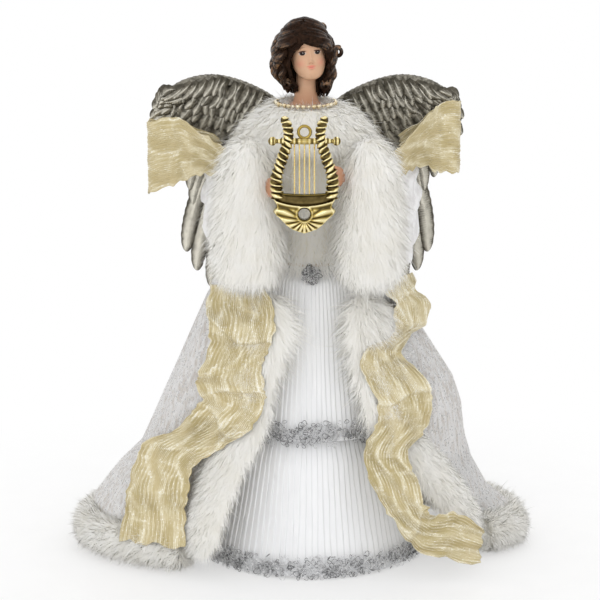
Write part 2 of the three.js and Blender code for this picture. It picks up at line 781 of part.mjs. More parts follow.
// The coat's outline at one height, from its left front edge round the back to its right front edge;
// it is closed to the fur bands below, and draws back behind the sleeves above
function coatOutline(height, edgeRows) {
  const back = coatHalfDepthBack * lookup(coatShares.back, height / coatTopHeight);
  const openShare = (height - coatClosedHeight) / (coatOpenHeight - coatClosedHeight);
  const openAngle = Math.asin((sleeveBack + fitGap + coatThickness) / back);
  const sidePoints = (side) => {
    const halfWidth = coatHalfWidthAt(side, height);
    const rows = edgeRows[sideName(side)];
    const edgeX = Math.abs(lookup(rows, height, 1));
    const closedAngle = -Math.acos(Math.min(edgeX / halfWidth, 1));
    const front = lookup(rows, height, 2) / Math.sin(closedAngle);
    const first = mix(closedAngle, openAngle, THREE.MathUtils.clamp(openShare, 0, 1));
    return Array.from({ length: outlineSteps + 1 }, (_, step) => {
      const angle = mix(first, quarterTurn, step / outlineSteps);
      const depth = Math.sin(angle) * (angle < 0 ? front : back);
      return at(side * Math.cos(angle) * halfWidth, depth, height);
    });
  };
  const points = [...sidePoints(-1), ...sidePoints(1).reverse().slice(1)];
  return smoothPath(points, coatColumns - 1);
}

const furEdgeRows = { left: furSideRows(-1), right: furSideRows(1) };
const coatRowShares = [0, 0.07, 0.19, 0.4, 0.55, 0.635, 0.665, 0.695, 0.725, 0.85, 1];

function coat() {
  const grid = coatRowShares.map((rowShare) => {
    const height = mix(coatHemHeight, coatTopHeight, rowShare);
    const points = coatOutline(height, furEdgeRows);
    return points.map((point, place) => {
      const share = place / (points.length - 1);
      const depth = coatFoldDepth * (1 - rowShare) * roundEnds(share, 2);
      const fold = (depth * (Math.sin(share * coatFoldCount * fullTurn) - 1)) / 2;
      return point.addScaledVector(fromAxis(point).normalize(), fold);
    });
  });
  return cloth(grid, coatThickness);
}

// The fur roll round the hem follows the coat's lowest edge and stops short of the front bands
function hemFur() {
  const path = coatOutline(coatHemHeight, furEdgeRows).filter((_, place) => place % 2 === 0);
  path.forEach((point) => {
    point.z = hemFurLift + hemFurRadius;
  });
  const roll = bar(path, () => [hemFurRadius, hemFurRadius], () => alongZ, 10);
  const bands = joined([frontFur(-1, fitGap), frontFur(1, fitGap)]);
  const skirt = skin([0, coatTopHeight].map((height) => {
    const radius = trimmedSkirtRadiusAt(height) + fitGap;
    return levelRing(at(0, 0, height), radius, radius, 40);
  }));
  const pieces = solidOf(roll).subtract(bands).subtract(solidOf(skirt)).decompose();
  return geometryOf(pieces.sort((a, b) => b.volume() - a.volume())[0]);
}

// The wing's leading edge: rows of reach share and drop share from the wing's highest point
const wingArmShares = [[0.085, 0.35], [0.19, 0.2], [0.38, 0.11], [0.62, 0.055], [0.82, 0.1], [0.93, 0.16]];
// Feather tips in the same shares, from the wing's outer tip down to its lowest inner feather
const featherTipShares = [
  [0.94, 0.12], [1, 0.2], [0.99, 0.34], [0.87, 0.48], [0.8, 0.54], [0.78, 0.61],
  [0.83, 0.83], [0.76, 0.92], [0.66, 1], [0.58, 0.87],
];

const wingArmTaperShare = 0.6;
// Where along the arm the outermost and the innermost feather are rooted
const featherRootShares = [0.88, 0.22];
const featherWidthShares = [0.7, 1, 0.75, 0.3];
const nearTipShare = 0.93;
const layerShare = 0.5;

function wing(side) {
  const wingPoint = ([reachShare, dropShare], layer = 0) => at(
    wingCentre + side * wingReach * reachShare,
    wingPlaneBack - wingSweepForward * reachShare ** 2 + layer,
    wingTopHeight - wingTipDrop * dropShare,
  );
  const armPath = new THREE.CatmullRomCurve3(wingArmShares.map((row) => wingPoint(row)));
  const armSizes = (share) => {
    const taper = mix(1, wingArmTaperShare, share);
    return [wingArmHalfHeight * taper, wingArmHalfDepth * taper];
  };
  const arm = bar(armPath.getSpacedPoints(10), armSizes, () => alongY, 8);
  const feathers = featherTipShares.map((tipShares, place) => {
    const share = place / (featherTipShares.length - 1);
    const root = armPath.getPointAt(mix(...featherRootShares, share));
    const tip = wingPoint(tipShares, featherHalfDepth * layerShare * (place % 2));
    const middle = root.clone().lerp(tip, 0.5);
    const nearTip = root.clone().lerp(tip, nearTipShare);
    return bar([root, middle, nearTip, tip], (along) => (
      [featherHalfWidth * featherWidthShares[Math.round(along * 3)], featherHalfDepth]
    ), () => alongY, 6);
  });
  return geometryOf(joined([arm, ...feathers]));
}

// The bracket between the wings' roots and the back of the bodice and shoulder plate
function wingBracket() {
  const back = wingPlaneBack - wingArmHalfDepth - fitGap;
  const base = coatTopHeight + coatThickness;
  const block = new THREE.BoxGeometry(bracketHalfWidth * 2, back, bracketHeight)
    .translate(wingCentre, back / 2, base + bracketHeight / 2);
  return geometryOf(solidOf(block).subtract(solidOf(bodiceShape(fitGap))));
}

const ribbonColumns = 5;
// The tails come out from under the cuffs
const tailTopHeight = cuffHeight - cuffHalfHeight - toFlat(cuffFurRadius, cuffSides) - fitGap;

// Cloth laid between two edges, crinkled along its length
function ribbon(edgePairs, steps) {
  const [firstEdge, secondEdge] = [0, 1].map((end) => (
    new THREE.CatmullRomCurve3(edgePairs.map((pair) => pair[end])).getPoints(steps)
  ));
  const grid = firstEdge.map((point, place) => Array.from({ length: ribbonColumns }, (_, column) => (
    point.clone().lerp(secondEdge[place], column / (ribbonColumns - 1))
  )));
  const middles = grid.map((row) => row[(ribbonColumns - 1) / 2]);
  const outwards = grid.map((row, place) => (
    row[ribbonColumns - 1].clone().sub(row[0]).cross(runAt(middles, place)).normalize()
  ));
  const crinkled = grid.map((row, place) => row.map((point, column) => (
    point.clone().addScaledVector(outwards[place], column % 2 ? ribbonCrinkle : 0)
  )));
  return cloth(crinkled, ribbonThickness, outwards);
}

// Where each loop is gathered: on the outer back quarter of the cuff's roll, at the gather's height
const loopSeat = toFlat(cuffFurRadius, cuffSides) + fitGap + ribbonThickness / 2 + ribbonCrinkle;
const cuffRiseShare = (loopGatherHeight - cuffHeight) / cuffHalfHeight;
const cuffRollSpread = cuffSpread + cuffHalfWidth * Math.sqrt(1 - cuffRiseShare ** 2);
const loopGatherSpread = cuffRollSpread + loopSeat * Math.SQRT1_2;
const loopGatherForward = cuffForward - loopSeat * Math.SQRT1_2;

// The loop round an arm: rows of reach share beyond the gather, share of the gather's way forward, and
// width share
const loopShares = [
  [0, -1, 0.24], [0.12, -0.82, 0.34], [0.36, -0.5, 0.58], [0.72, -0.14, 0.82], [0.96, 0.04, 0.98],
  [1, 0.2, 1], [0.92, 0.34, 0.98], [0.66, 0.34, 0.86], [0.3, 0.3, 0.7], [-0.08, 0.28, 0.6],
];

function ribbonLoop(side) {
  const reach = side < 0 ? leftLoopReach : rightLoopReach;
  const outerHeight = side < 0 ? leftLoopHeight : rightLoopHeight;
  const pairs = loopShares.map(([reachShare, depthShare, widthShare]) => {
    const middle = mix(loopGatherHeight, outerHeight, Math.max(reachShare, 0));
    const place = (end) => at(
      side * mix(loopGatherSpread, reach, reachShare),
      loopGatherForward * depthShare,
      middle + (end * ribbonWidth * widthShare) / 2,
    );
    return [place(-side), place(side)];
  });
  return ribbon(pairs, 14);
}

// Rows down each tail: the inner edge's reach share and height share, the outer edge's reach share and
// height share, and how far the ribbon swings off what is behind it, as a share of its swing
const tailShares = {
  left: [
    [0.21, 1, 0.44, 0.956, 0], [0.17, 0.946, 0.46, 0.888, 0], [0.15, 0.868, 0.44, 0.829, 0.1],
    [0.18, 0.79, 0.45, 0.751, 0], [0.21, 0.732, 0.49, 0.673, 0.1], [0.2, 0.654, 0.5, 0.634, 0],
    [0.2, 0.615, 0.47, 0.585, 0], [0.23, 0.546, 0.49, 0.546, 0.1], [0.31, 0.478, 0.59, 0.459, 0],
    [0.41, 0.42, 0.68, 0.42, 0.1], [0.47, 0.371, 0.75, 0.332, 0], [0.51, 0.293, 0.79, 0.263, 0.1],
    [0.53, 0.215, 0.81, 0.185, 0], [0.54, 0.107, 0.85, 0.098, 0],
  ],
  right: [
    [0.35, 1, 0.49, 0.986, 0], [0.33, 0.976, 0.51, 0.937, 0.1], [0.38, 0.917, 0.58, 0.878, 0],
    [0.39, 0.849, 0.56, 0.81, 0], [0.38, 0.82, 0.47, 0.8, 0.1], [0.25, 0.79, 0.42, 0.761, 0.1],
    [0.23, 0.732, 0.5, 0.693, 0.1], [0.28, 0.644, 0.57, 0.595, 0], [0.31, 0.576, 0.57, 0.527, 0],
    [0.29, 0.527, 0.52, 0.488, 0.1], [0.24, 0.439, 0.44, 0.429, 0.3], [0.27, 0.361, 0.48, 0.371, 0.42],
    [0.32, 0.283, 0.52, 0.283, 0.63], [0.39, 0.205, 0.55, 0.244, 1.08], [0.49, 0.117, 0.58, 0.244, 0.76],
    [0.63, 0.088, 0.66, 0.254, 1.09], [0.78, 0.059, 0.8, 0.195, 1.12],
  ],
};
// Beyond this share of its swing the ribbon hangs clear and lies flat across its width
const looseShare = 0.5;

const sideShare = 1.5;

// How far forward the skirt, the fur band, the coat or its hem reaches at one place
function frontAt(side, x, height) {
  const reach = Math.abs(x);
  const rows = furEdgeRows[sideName(side)];
  const edgeX = Math.abs(lookup(rows, height, 1));
  const edgeY = lookup(rows, height, 2);
  const bandRows = frontFurPath(side).map((point) => [point.z, point.x, point.y]);
  const bandX = Math.abs(lookup(bandRows, height, 1));
  const bandY = lookup(bandRows, height, 2);
  const onSkirt = -Math.sqrt(Math.max(trimmedSkirtRadiusAt(height) ** 2 - reach ** 2, 0));
  const halfWidth = coatHalfWidthAt(side, height);
  const first = Math.acos(Math.min(edgeX / halfWidth, 1));
  const roll = height < coatHemHeight + tailLift ? hemFurRadius : 0;
  const onCoat = (edgeY * Math.sin(Math.acos(Math.min(reach / halfWidth, 1)))) / Math.sin(first) - roll;
  const acrossShare = (reach - bandX) / (edgeX - bandX);
  if (acrossShare < -1) return onSkirt;
  if (acrossShare > sideShare) return onCoat;
  const onBand = bandY + Math.min(acrossShare, 1) * (edgeY - bandY) - frontFurHalfDepth;
  return Math.min(onSkirt, onBand, acrossShare > 0 ? onCoat : 0);
}

// The furthest forward of what lies within a short way above and below
const tailSweep = tailLift * 2;
const clearFrontAt = (side, x, height) => (
  Math.min(...[-tailSweep, 0, tailSweep].map((step) => frontAt(side, x, height + step)))
);

const tailSteps = 26;

function ribbonTail(side) {
  const reach = side < 0 ? coatHalfWidthLeft : coatHalfWidthRight;
  const pairs = tailShares[sideName(side)].map(([innerX, innerZ, outerX, outerZ, swing]) => {
    const edges = [[innerX, innerZ], [outerX, outerZ]].map(([xShare, zShare]) => {
      const [x, height] = [side * reach * xShare, tailTopHeight * zShare];
      return at(x, clearFrontAt(side, x, height), height);
    });
    const foremost = Math.min(...edges.map((edge) => edge.y));
    const flatness = Math.min(swing / looseShare, 1);
    return edges.map((edge) => (
      edge.setY(mix(edge.y, foremost, flatness) - tailSwing * swing - tailLift)
    ));
  });
  return ribbon(side < 0 ? pairs : pairs.map(([inner, outer]) => [outer, inner]), tailSteps);
}

// The lyre's arm: rows of width share and height share, from the sound box to the tip
const lyreArmShares = [[0.86, 0.3], [0.89, 0.47], [0.71, 0.63], [0.51, 0.8], [0.56, 0.92], [0.7, 0.985]];

const lyreTaperShare = 0.75;

function lyreArm(side, grow = 0) {
  const path = smoothPath(lyreArmShares.map(([wide, high]) => (
    at(lyreCentre + side * lyreHalfWidth * wide, -lyreForward, lyreBaseHeight + lyreHeight * high)
  )), 16);
  return bar(path, (share) => {
    const radius = lyreArmRadius * mix(1, lyreTaperShare, share) + grow;
    return [radius, radius];
  }, () => alongY, 8);
}

// Half of the sound box's outline, from its foot to the middle of its dished top
const soundBoxShares = [
  [0, 0], [0.45, 0.045], [0.8, 0.13], [1, 0.19], [0.9, 0.235], [1, 0.3], [0.93, 0.35], [0.62, 0.325],
  [0, 0.31],
];
const holeHeightShare = 0.185;
const crossbarShare = 0.78;
const stringFootShare = 0.325;

// The lyre's frame: sound box, two arms, the cross-bar with its knobs and the ring above it
function lyreFrame() {
  const outline = [
    ...soundBoxShares,
    ...soundBoxShares.slice(1, -1).reverse().map(([wide, high]) => [-wide, high]),
  ].map(([wide, high]) => new THREE.Vector2(wide * lyreHalfWidth, high * lyreHeight));
  const face = new THREE.Shape(outline);
  const hole = new THREE.Path();
  hole.absarc(0, lyreHeight * holeHeightShare, lyreHoleRadius, 0, fullTurn, true);
  face.holes.push(hole);
  const box = new THREE.ExtrudeGeometry(face, {
    depth: lyreDepth - lyreBoxBevel * 2,
    bevelThickness: lyreBoxBevel,
    bevelSize: lyreBoxBevel,
    bevelOffset: -lyreBoxBevel,
    bevelSegments: 1,
    curveSegments: 6,
  }).rotateX(quarterTurn)
    .translate(lyreCentre, -lyreForward + lyreDepth / 2 - lyreBoxBevel, lyreBaseHeight);
  const barHeight = lyreBaseHeight + lyreHeight * crossbarShare;
  const barLength = crossbarHalfLength * 2;
  const crossbar = new THREE.CylinderGeometry(crossbarRadius, crossbarRadius, barLength, 10)
    .rotateZ(quarterTurn)
    .translate(lyreCentre, -lyreForward, barHeight);
  const knobs = [-crossbarHalfLength, crossbarHalfLength].map((x) => (
    new THREE.SphereGeometry(crossbarKnobRadius, 8, 6).translate(lyreCentre + x, -lyreForward, barHeight)
  ));
  const halo = new THREE.TorusGeometry(lyreRingRadius, lyreRingWire, 6, 14)
    .rotateX(quarterTurn)
    .translate(lyreCentre, -lyreForward, barHeight + crossbarRadius + lyreRingRadius);
  return geometryOf(joined([box, lyreArm(-1), lyreArm(1), crossbar, ...knobs, halo]));
}

function lyreString(place) {
  const top = lyreBaseHeight + lyreHeight * crossbarShare - crossbarRadius - fitGap;
  const foot = lyreBaseHeight + lyreHeight * stringFootShare + fitGap;
  const x = lyreCentre + (place - (stringCount - 1) / 2) * stringSpacing;
  return new THREE.CylinderGeometry(stringRadius, stringRadius, top - foot, 6)
    .rotateX(quarterTurn)
    .translate(x, -lyreForward, (top + foot) / 2);
}

const palette = {
  card: [0xc9b38c, 0.9, 0],
  skin: [0xe8bda4, 0.45, 0],
  hair: [0x2a1710, 0.3, 0.1],
  white: [0xf4f4f2, 0.85, 0],
  fur: [0xf3efe4, 0.95, 0],
  mesh: [0xe6dfda, 0.5, 0.1],
  silver: [0xc8c8c6, 0.3, 0.9],
  pewter: [0xa9a493, 0.4, 0.7],
  gold: [0xd9bf6a, 0.15, 1],
  ribbon: [0xd8c796, 0.35, 0.5],
  steel: [0x9a9a9a, 0.4, 0.9],
  velvet: [0xe9e7e8, 0.6, 0],
};

const topper = new THREE.Group();

function addPart(name, geometry, finish) {
  const [color, roughness, metalness] = palette[finish];
  geometry.computeVertexNormals();
  const material = new THREE.MeshStandardMaterial({ color, roughness, metalness });
  const mesh = new THREE.Mesh(geometry, material);
  mesh.name = name;
  topper.add(mesh);
}

addPart('body_cone', bodyCone(), 'card');
addPart('skirt_lower_tier', lowerTier(), 'white');
addPart('skirt_upper_tier', upperTier(), 'white');
addPart('braid_lower', braidBand(lowerBraidHeight), 'silver');
addPart('braid_upper', braidBand(upperBraidHeight), 'silver');
addPart('waist_rosette', waistRosette(), 'silver');
addPart('bodice', bodice(), 'fur');
addPart('bust_head', bustHead(), 'skin');
addPart('hair', hair(), 'hair');
addPart('necklace', necklace(), 'gold');
addPart('fur_collar', furCollar(), 'fur');
addPart('coat', coat(), 'mesh');
addPart('hem_fur', hemFur(), 'fur');
addPart('wing_bracket', wingBracket(), 'steel');
addPart('lyre_frame', lyreFrame(), 'gold');
Array.from({ length: stringCount }, (_, place) => (
  addPart(`lyre_string_${place + 1}`, lyreString(place), 'gold')
));
[-1, 1].forEach((side) => {
  const name = sideName(side);
  addPart(`arm_wire_${name}`, armWire(side), 'steel');
  addPart(`hand_${name}`, hand(side), 'skin');
  addPart(`sleeve_${name}`, sleeve(side), 'velvet');
  addPart(`fur_cuff_${name}`, furCuff(side), 'fur');
  addPart(`front_fur_${name}`, frontFur(side), 'fur');
  addPart(`wing_${name}`, wing(side), 'pewter');
  addPart(`ribbon_loop_${name}`, ribbonLoop(side), 'ribbon');
  addPart(`ribbon_tail_${name}`, ribbonTail(side), 'ribbon');
});

export default topper;
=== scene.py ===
import math

import bpy
import numpy as np
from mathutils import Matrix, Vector, bvhtree, kdtree


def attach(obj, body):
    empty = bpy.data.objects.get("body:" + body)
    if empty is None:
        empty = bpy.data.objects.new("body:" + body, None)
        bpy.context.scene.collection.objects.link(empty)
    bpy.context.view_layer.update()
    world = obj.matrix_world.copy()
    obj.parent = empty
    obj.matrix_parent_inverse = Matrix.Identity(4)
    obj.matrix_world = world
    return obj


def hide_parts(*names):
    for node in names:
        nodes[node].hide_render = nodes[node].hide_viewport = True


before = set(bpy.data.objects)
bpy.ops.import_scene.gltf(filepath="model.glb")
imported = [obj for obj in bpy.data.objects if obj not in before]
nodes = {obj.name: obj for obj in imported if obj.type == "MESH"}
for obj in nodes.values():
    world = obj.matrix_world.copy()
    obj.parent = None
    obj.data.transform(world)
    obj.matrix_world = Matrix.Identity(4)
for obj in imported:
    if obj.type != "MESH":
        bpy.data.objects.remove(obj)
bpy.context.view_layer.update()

mm = 0.001
full_turn = 2 * math.pi
quarter_turn = math.pi / 2
tiny = 1e-15
both_sides = ((-1, "left"), (1, "right"))
down = np.array([0.0, 0.0, -1.0])
forward = np.array([0.0, -1.0, 0.0])

# The camera, its view and the floor
camera_target_shift = -8.4 * mm
camera_target_height = 191.9 * mm
camera_target = Vector((camera_target_shift, 0, camera_target_height))
camera_distance = 1374 * mm
camera_elevation = math.radians(12)
camera_lens = 108
camera_sensor = 36
floor_shadow_reach = 200 * mm
floor_fade_reach = 420 * mm
floor_reach = 6000 * mm
floor_drop = 0.4 * mm
sky_light = 0.98

# The card cone and the pleated skirt
cone_height = 300 * mm
cone_base_radius = 75 * mm
cone_top_radius = 16 * mm
fit_gap = 0.3 * mm
waist_height = 224 * mm
waist_gather = 9 * mm
upper_hem_height = 99 * mm
tier_overlap = 17 * mm
skirt_hem_height = 1.5 * mm
skirt_hem_radius = 88 * mm
skirt_waist_radius = 44 * mm
pleat_count = 108
pleat_depth = 0.8 * mm
pleat_cloth = 0.35 * mm
pleat_swell = 0.25 * mm
tier_step = 3.1 * mm

# The looped wire braid
braid_half_height = 6.5 * mm
braid_half_depth = 2.4 * mm
braid_wire = 0.22 * mm
braid_loop_radius = 2.2 * mm
braid_fray = 2.2 * mm
braid_loops_per_metre = 3600
rosette_radius = 7 * mm
rosette_half_depth = 3.2 * mm
rosette_loops = 130

# The bodice, collar and necklace
bodice_half_width = 43 * mm
bodice_half_depth = 37 * mm
bodice_top_height = 312 * mm
upper_body_shift = -4 * mm
collar_half_width = 54 * mm
collar_half_depth = 41 * mm
collar_neck_width = 21 * mm
collar_thickness = 6.5 * mm
collar_drop = 27 * mm
collar_back_height = 351 * mm
collar_front_dip = 6 * mm
bead_radius = 1.9 * mm
bead_count = 36
bead_seat = 5 * mm
bead_rise = 5 * mm

# The head and hair
neck_radius = 7.2 * mm
head_height = 41 * mm
head_half_width = 12.8 * mm
head_half_depth = 14.5 * mm
head_forward = 5 * mm
chin_height = 360.5 * mm
head_turn = math.radians(7)
head_tilt = math.radians(5)
head_tilt_share = 0.24
head_pivot = (upper_body_shift + head_half_width * head_tilt_share, -head_forward, chin_height)
head_voxel = 0.36 * mm
yoke_half_width = 36 * mm
yoke_half_depth = 21 * mm
yoke_height = 45 * mm
neck_length = 28 * mm
neck_root_flare = 2.6 * mm
neck_top_share = 0.2
neck_flare_share = 1.12
hair_top_height = 406.4 * mm
hair_fall_height = 349 * mm
hair_half_width = 24.5 * mm
hair_half_depth = 21 * mm
hair_cap_voxel = 0.8 * mm
hair_cap_seat = 2.4 * mm
lock_radius = 2.7 * mm
lock_wave = 2.1 * mm
lock_sink = 1.2 * mm
lock_layer_step = 0.9 * mm
ringlet_radius = 1.5 * mm
parting_turn = math.radians(-14)

# The sleeves, cuffs and hands
sleeve_back = 3.5 * mm
sleeve_root_radius = 11.5 * mm
sleeve_root_height = 297 * mm
sleeve_root_spread = 42 * mm
sleeve_spread = 70 * mm
sleeve_half_width = 21 * mm
sleeve_half_height = 50 * mm
sleeve_fold_depth = 3 * mm
velvet_cloth = 0.8 * mm
velvet_crush = 0.3 * mm
sleeve_top_share = 0.66
cuff_spread = 45 * mm
cuff_half_width = 14 * mm
cuff_half_height = 42.5 * mm
cuff_fur_radius = 11 * mm
cuff_forward = 63 * mm
cuff_height = 270 * mm

# The pile, and the fur-covered cores of the cuffs
stray_share = 0.05
clump_share = 0.45
curl_share = 0.17
# Light that has passed between cream strands is a little warmer
passed_light_tint = (1, 0.99, 0.955, 1)
pile_width = 0.3 * mm
hem_pile_width = 0.4 * mm
pile_voxel = 2 * mm
pile_floor = 0.5 * mm
chest_pile_length = 13 * mm
chest_skirt_height = 30 * mm
collar_pile_length = 14 * mm
cuff_pile_length = 19 * mm
front_pile_length = 13 * mm
front_comb_height = 60 * mm
right_comb_share = 1.8
hem_pile_length = 9.5 * mm
chest_pile_seat = 1 * mm
collar_pile_seat = 1.5 * mm
front_pile_seat = 4 * mm
hem_pile_seat = 3.5 * mm
cuff_core_half_height = 47 * mm
cuff_core_rise = 5 * mm
cuff_core_half_depth = 10 * mm
cuff_core_forward = 66 * mm
left_cuff_core_half_width = 20 * mm
right_cuff_core_half_width = 18.5 * mm
right_cuff_core_shift = 4 * mm
hand_reach = 33 * mm
hand_voxel = 0.4 * mm
wrist_reach = 23 * mm

# The coat and its fur bands
coat_top_height = 291 * mm
coat_half_width_left = 170 * mm
coat_half_width_right = 157 * mm
coat_half_depth_back = 110 * mm
coat_fold_depth = 4 * mm
coat_fold_count = 11
coat_cloth = 0.4 * mm
coat_ripple = 0.5 * mm
coat_hem_gap = 0.6 * mm
seam_gap = 1.5 * mm
coat_closed_height = 196 * mm
coat_open_height = 219 * mm
front_fur_half_width = 18 * mm
front_fur_half_depth = 8.5 * mm
front_fur_top_height = 213 * mm
hem_fur_radius = 14 * mm
hem_fur_lift = 1.8 * mm

# The wings
wing_centre = -3 * mm
wing_reach = 114 * mm
wing_top_height = 362 * mm
wing_tip_drop = 168 * mm
wing_plane_back = 42 * mm
wing_sweep_forward = 6 * mm
wing_arm_root_radius = 6.5 * mm
wing_arm_tip_radius = 4 * mm
wing_arm_half_depth = 3.6 * mm
feather_half_width = 6.6 * mm
feather_half_depth = 1.1 * mm
feather_tip_length = 8 * mm
feather_step = 0.4 * mm
feather_back = 0.4 * mm
between_feather_back = 1.7 * mm
barb_spacing = 1.3 * mm
barb_height = 0.2 * mm
covert_rows = 7
covert_step = 0.5 * mm
covert_half_width = 4.2 * mm
covert_top_length = 13 * mm
covert_low_length = 30 * mm
covert_top_stand = 5.2 * mm
covert_low_stand = 1.6 * mm
covert_tip_stand = 0.8 * mm
covert_spread = 85 * mm

# The crinkled ribbon
ribbon_width = 54 * mm
ribbon_cloth = 0.3 * mm
ribbon_crease = 1.2 * mm
ribbon_fray = 2.2 * mm
ribbon_lap = 3.2 * mm
left_loop_reach = 123 * mm
right_loop_reach = 112 * mm
loop_gather_height = 304 * mm
loop_arch = 6 * mm
loop_stand = 1.7 * mm
left_loop_height = 300 * mm
right_loop_height = 316 * mm
tail_lift = 2.9 * mm
tail_swing = 30 * mm

# The lyre
lyre_centre = -5.3 * mm
lyre_forward = 90 * mm
lyre_base_height = 259 * mm
lyre_height = 84 * mm
lyre_half_width = 22 * mm
lyre_depth = 8 * mm
lyre_arm_radius = 3.7 * mm
lyre_hole_radius = 4.2 * mm
crossbar_radius = 2.2 * mm
crossbar_half_length = 22.6 * mm
lyre_ring_radius = 4.2 * mm
lyre_ring_wire = 1.1 * mm
lyre_relief = 1.1 * mm

# The finishes: how deep each is raised, and what the painted head needs
card_relief = 0.15 * mm
satin_relief = 0.12 * mm
wire_relief = 0.05 * mm
plush_relief = 0.8 * mm
skin_relief = 0.06 * mm
hair_relief = 0.06 * mm
bead_relief = 0.03 * mm
net_relief = 0.5 * mm
net_thread_spacing = 1.1 * mm
steel_relief = 0.05 * mm
gold_relief = 0.04 * mm
string_relief = 0.05 * mm
velvet_relief = 0.7 * mm
pewter_relief = 0.12 * mm
ribbon_relief = 0.8 * mm
skin_red_reach = 2 * mm
skin_green_reach = 1 * mm
skin_blue_reach = 0.6 * mm
paint_start_depth = 1 * mm
paint_full_depth = 4 * mm
# Below the chin the skin is painted darker and redder: painted shade under the head.
neck_shade_top_height = 356 * mm
neck_shade_full_height = 340 * mm


# Small mathematics
def mix(low, high, share):
    return low + (high - low) * share


def unit(vectors):
    vectors = np.asarray(vectors, float)
    return vectors / np.maximum(np.linalg.norm(vectors, axis=-1, keepdims=True), tiny)


def lookup(table, place, column=1):
    table = np.asarray(table, float)
    return float(np.interp(place, table[:, 0], table[:, column]))


def smooth_share(share):
    share = np.clip(share, 0, 1)
    return share * share * (3 - 2 * share)


def round_ends(share):
    return (1 - np.abs(2 * share - 1) ** 2) ** (1 / 2)


def turns(count):
    """Angles spaced evenly round a full turn."""
    return np.arange(count) / count * full_turn


def spokes(turn):
    """Level directions, one at each angle."""
    return np.stack([np.cos(turn), np.sin(turn), np.zeros_like(turn)], -1)


def spline(points, places):
    """Points on a smooth curve through points, at places from 0 at the first to 1 at the last."""
    points = np.asarray(points, float)
    ends = [2 * points[0] - points[1], 2 * points[-1] - points[-2]]
    padded = np.concatenate([ends[:1], points, ends[1:]])
    count = len(points) - 1
    whole = np.clip(np.asarray(places, float), 0, 1) * count
    index = np.minimum(whole.astype(int), count - 1)
    share = (whole - index)[:, None]
    before, start, end, after = (padded[index + step] for step in range(4))
    gaps = [
        np.maximum(np.linalg.norm(late - early, axis=1, keepdims=True) ** 0.5, tiny)
        for early, late in ((before, start), (start, end), (end, after))
    ]
    first, middle, last = gaps
    leave = (start - before) / first - (end - before) / (first + middle) + (end - start) / middle
    arrive = (end - start) / middle - (after - start) / (middle + last) + (after - end) / last
    leave, arrive = leave * middle, arrive * middle
    bend = 2 * start - 2 * end + leave + arrive
    turn = 3 * end - 3 * start - 2 * leave - arrive
    return start + leave * share + turn * share**2 + bend * share**3


def evened(line, count):
    """The same line with its points spaced evenly."""
    steps = np.linalg.norm(np.diff(line, axis=0), axis=1)
    along = np.concatenate([[0], np.cumsum(steps)])
    wanted = np.linspace(0, along[-1], count)
    return np.stack([np.interp(wanted, along, column) for column in line.T], -1)


def even_spline(points, count):
    """Points spaced evenly along the smooth curve through points."""
    return evened(spline(points, np.linspace(0, 1, 40 * len(points))), count)


def along_of(line, wraps=False):
    """The way that a line of points runs at each point."""
    if wraps:
        return unit(np.roll(line, -1, 0) - np.roll(line, 1, 0))
    return unit(np.gradient(line, axis=0))


def wander(seed, count, places, waves=4):
    """Smooth random curves between -1 and 1: count of them over places from 0 to 1."""
    random = np.random.default_rng(seed)
    speeds = random.uniform(0.5, 1, (count, waves)) * np.arange(1, waves + 1)
    starts = random.uniform(0, full_turn, (count, waves))
    weights = 1 / np.arange(1, waves + 1)
    angles = speeds[:, :, None] * places * full_turn + starts[:, :, None]
    return (np.sin(angles) * weights[:, None]).sum(1) / weights.sum()


# Meshes
def grid_faces(rows, columns, wraps=False, closes=False):
    """Four-sided faces over rows and columns of points."""
    row, column = np.mgrid[:rows - 1 + closes, :columns - 1 + wraps]
    start, below, beside = row * columns, (row + 1) % rows * columns, (column + 1) % columns
    return np.stack([start + column, start + beside, below + beside, below + column], -1).reshape(-1, 4)


def linked(name, data):
    """A new object in the scene that holds a mesh, a lamp or a camera."""
    made = bpy.data.objects.new(name, data)
    bpy.context.scene.collection.objects.link(made)
    return made


def mesh_object(name, points, polygons, finish, places=None, shade=None, smooth=True):
    """An object of points and polygons, with its place on the cloth and its shade at each point."""
    mesh = bpy.data.meshes.new(name)
    points = np.asarray(points, np.float32).reshape(-1, 3)
    mesh.vertices.add(len(points))
    mesh.vertices.foreach_set("co", points.ravel())
    corners = np.concatenate([np.asarray(part).ravel() for part in polygons]).astype(np.int32)
    sizes = np.concatenate([np.full(len(part), np.shape(part)[1]) for part in polygons])
    mesh.loops.add(len(corners))
    mesh.loops.foreach_set("vertex_index", corners)
    mesh.polygons.add(len(sizes))
    mesh.polygons.foreach_set("loop_start", (np.cumsum(sizes) - sizes).astype(np.int32))
    mesh.polygons.foreach_set("use_smooth", np.full(len(sizes), smooth))
    mesh.update(calc_edges=True)
    if places is not None:
        layer = mesh.uv_layers.new(name="UVMap")
        layer.data.foreach_set("uv", np.asarray(places, np.float32).reshape(-1, 2)[corners].ravel())
    if shade is not None:
        layer = mesh.attributes.new("shade", "FLOAT", "POINT")
        layer.data.foreach_set("value", np.asarray(shade, np.float32).ravel())
    mesh.materials.append(finish)
    return linked(name, mesh)


def applied(made, *modifiers):
    """Applies modifiers, each a kind and its settings, to an object's mesh."""
    for kind, settings in modifiers:
        modifier = made.modifiers.new(kind.lower(), kind)
        for key, value in settings.items():
            setattr(modifier, key, value)
    evaluated = made.evaluated_get(bpy.context.evaluated_depsgraph_get())
    mesh = bpy.data.meshes.new_from_object(evaluated)
    made.modifiers.clear()
    made.data = mesh
    return made


def softened(made, finish, voxel, factor, iterations, *more):
    """Rebuilds a mesh in small even faces, smooths it and gives it one finish."""
    applied(
        made,
        ("REMESH", {"mode": "VOXEL", "voxel_size": voxel, "use_smooth_shade": True}),
        ("SMOOTH", {"factor": factor, "iterations": iterations}),
        *more,
    )
    made.data.materials.clear()
    made.data.materials.append(finish)
    return made


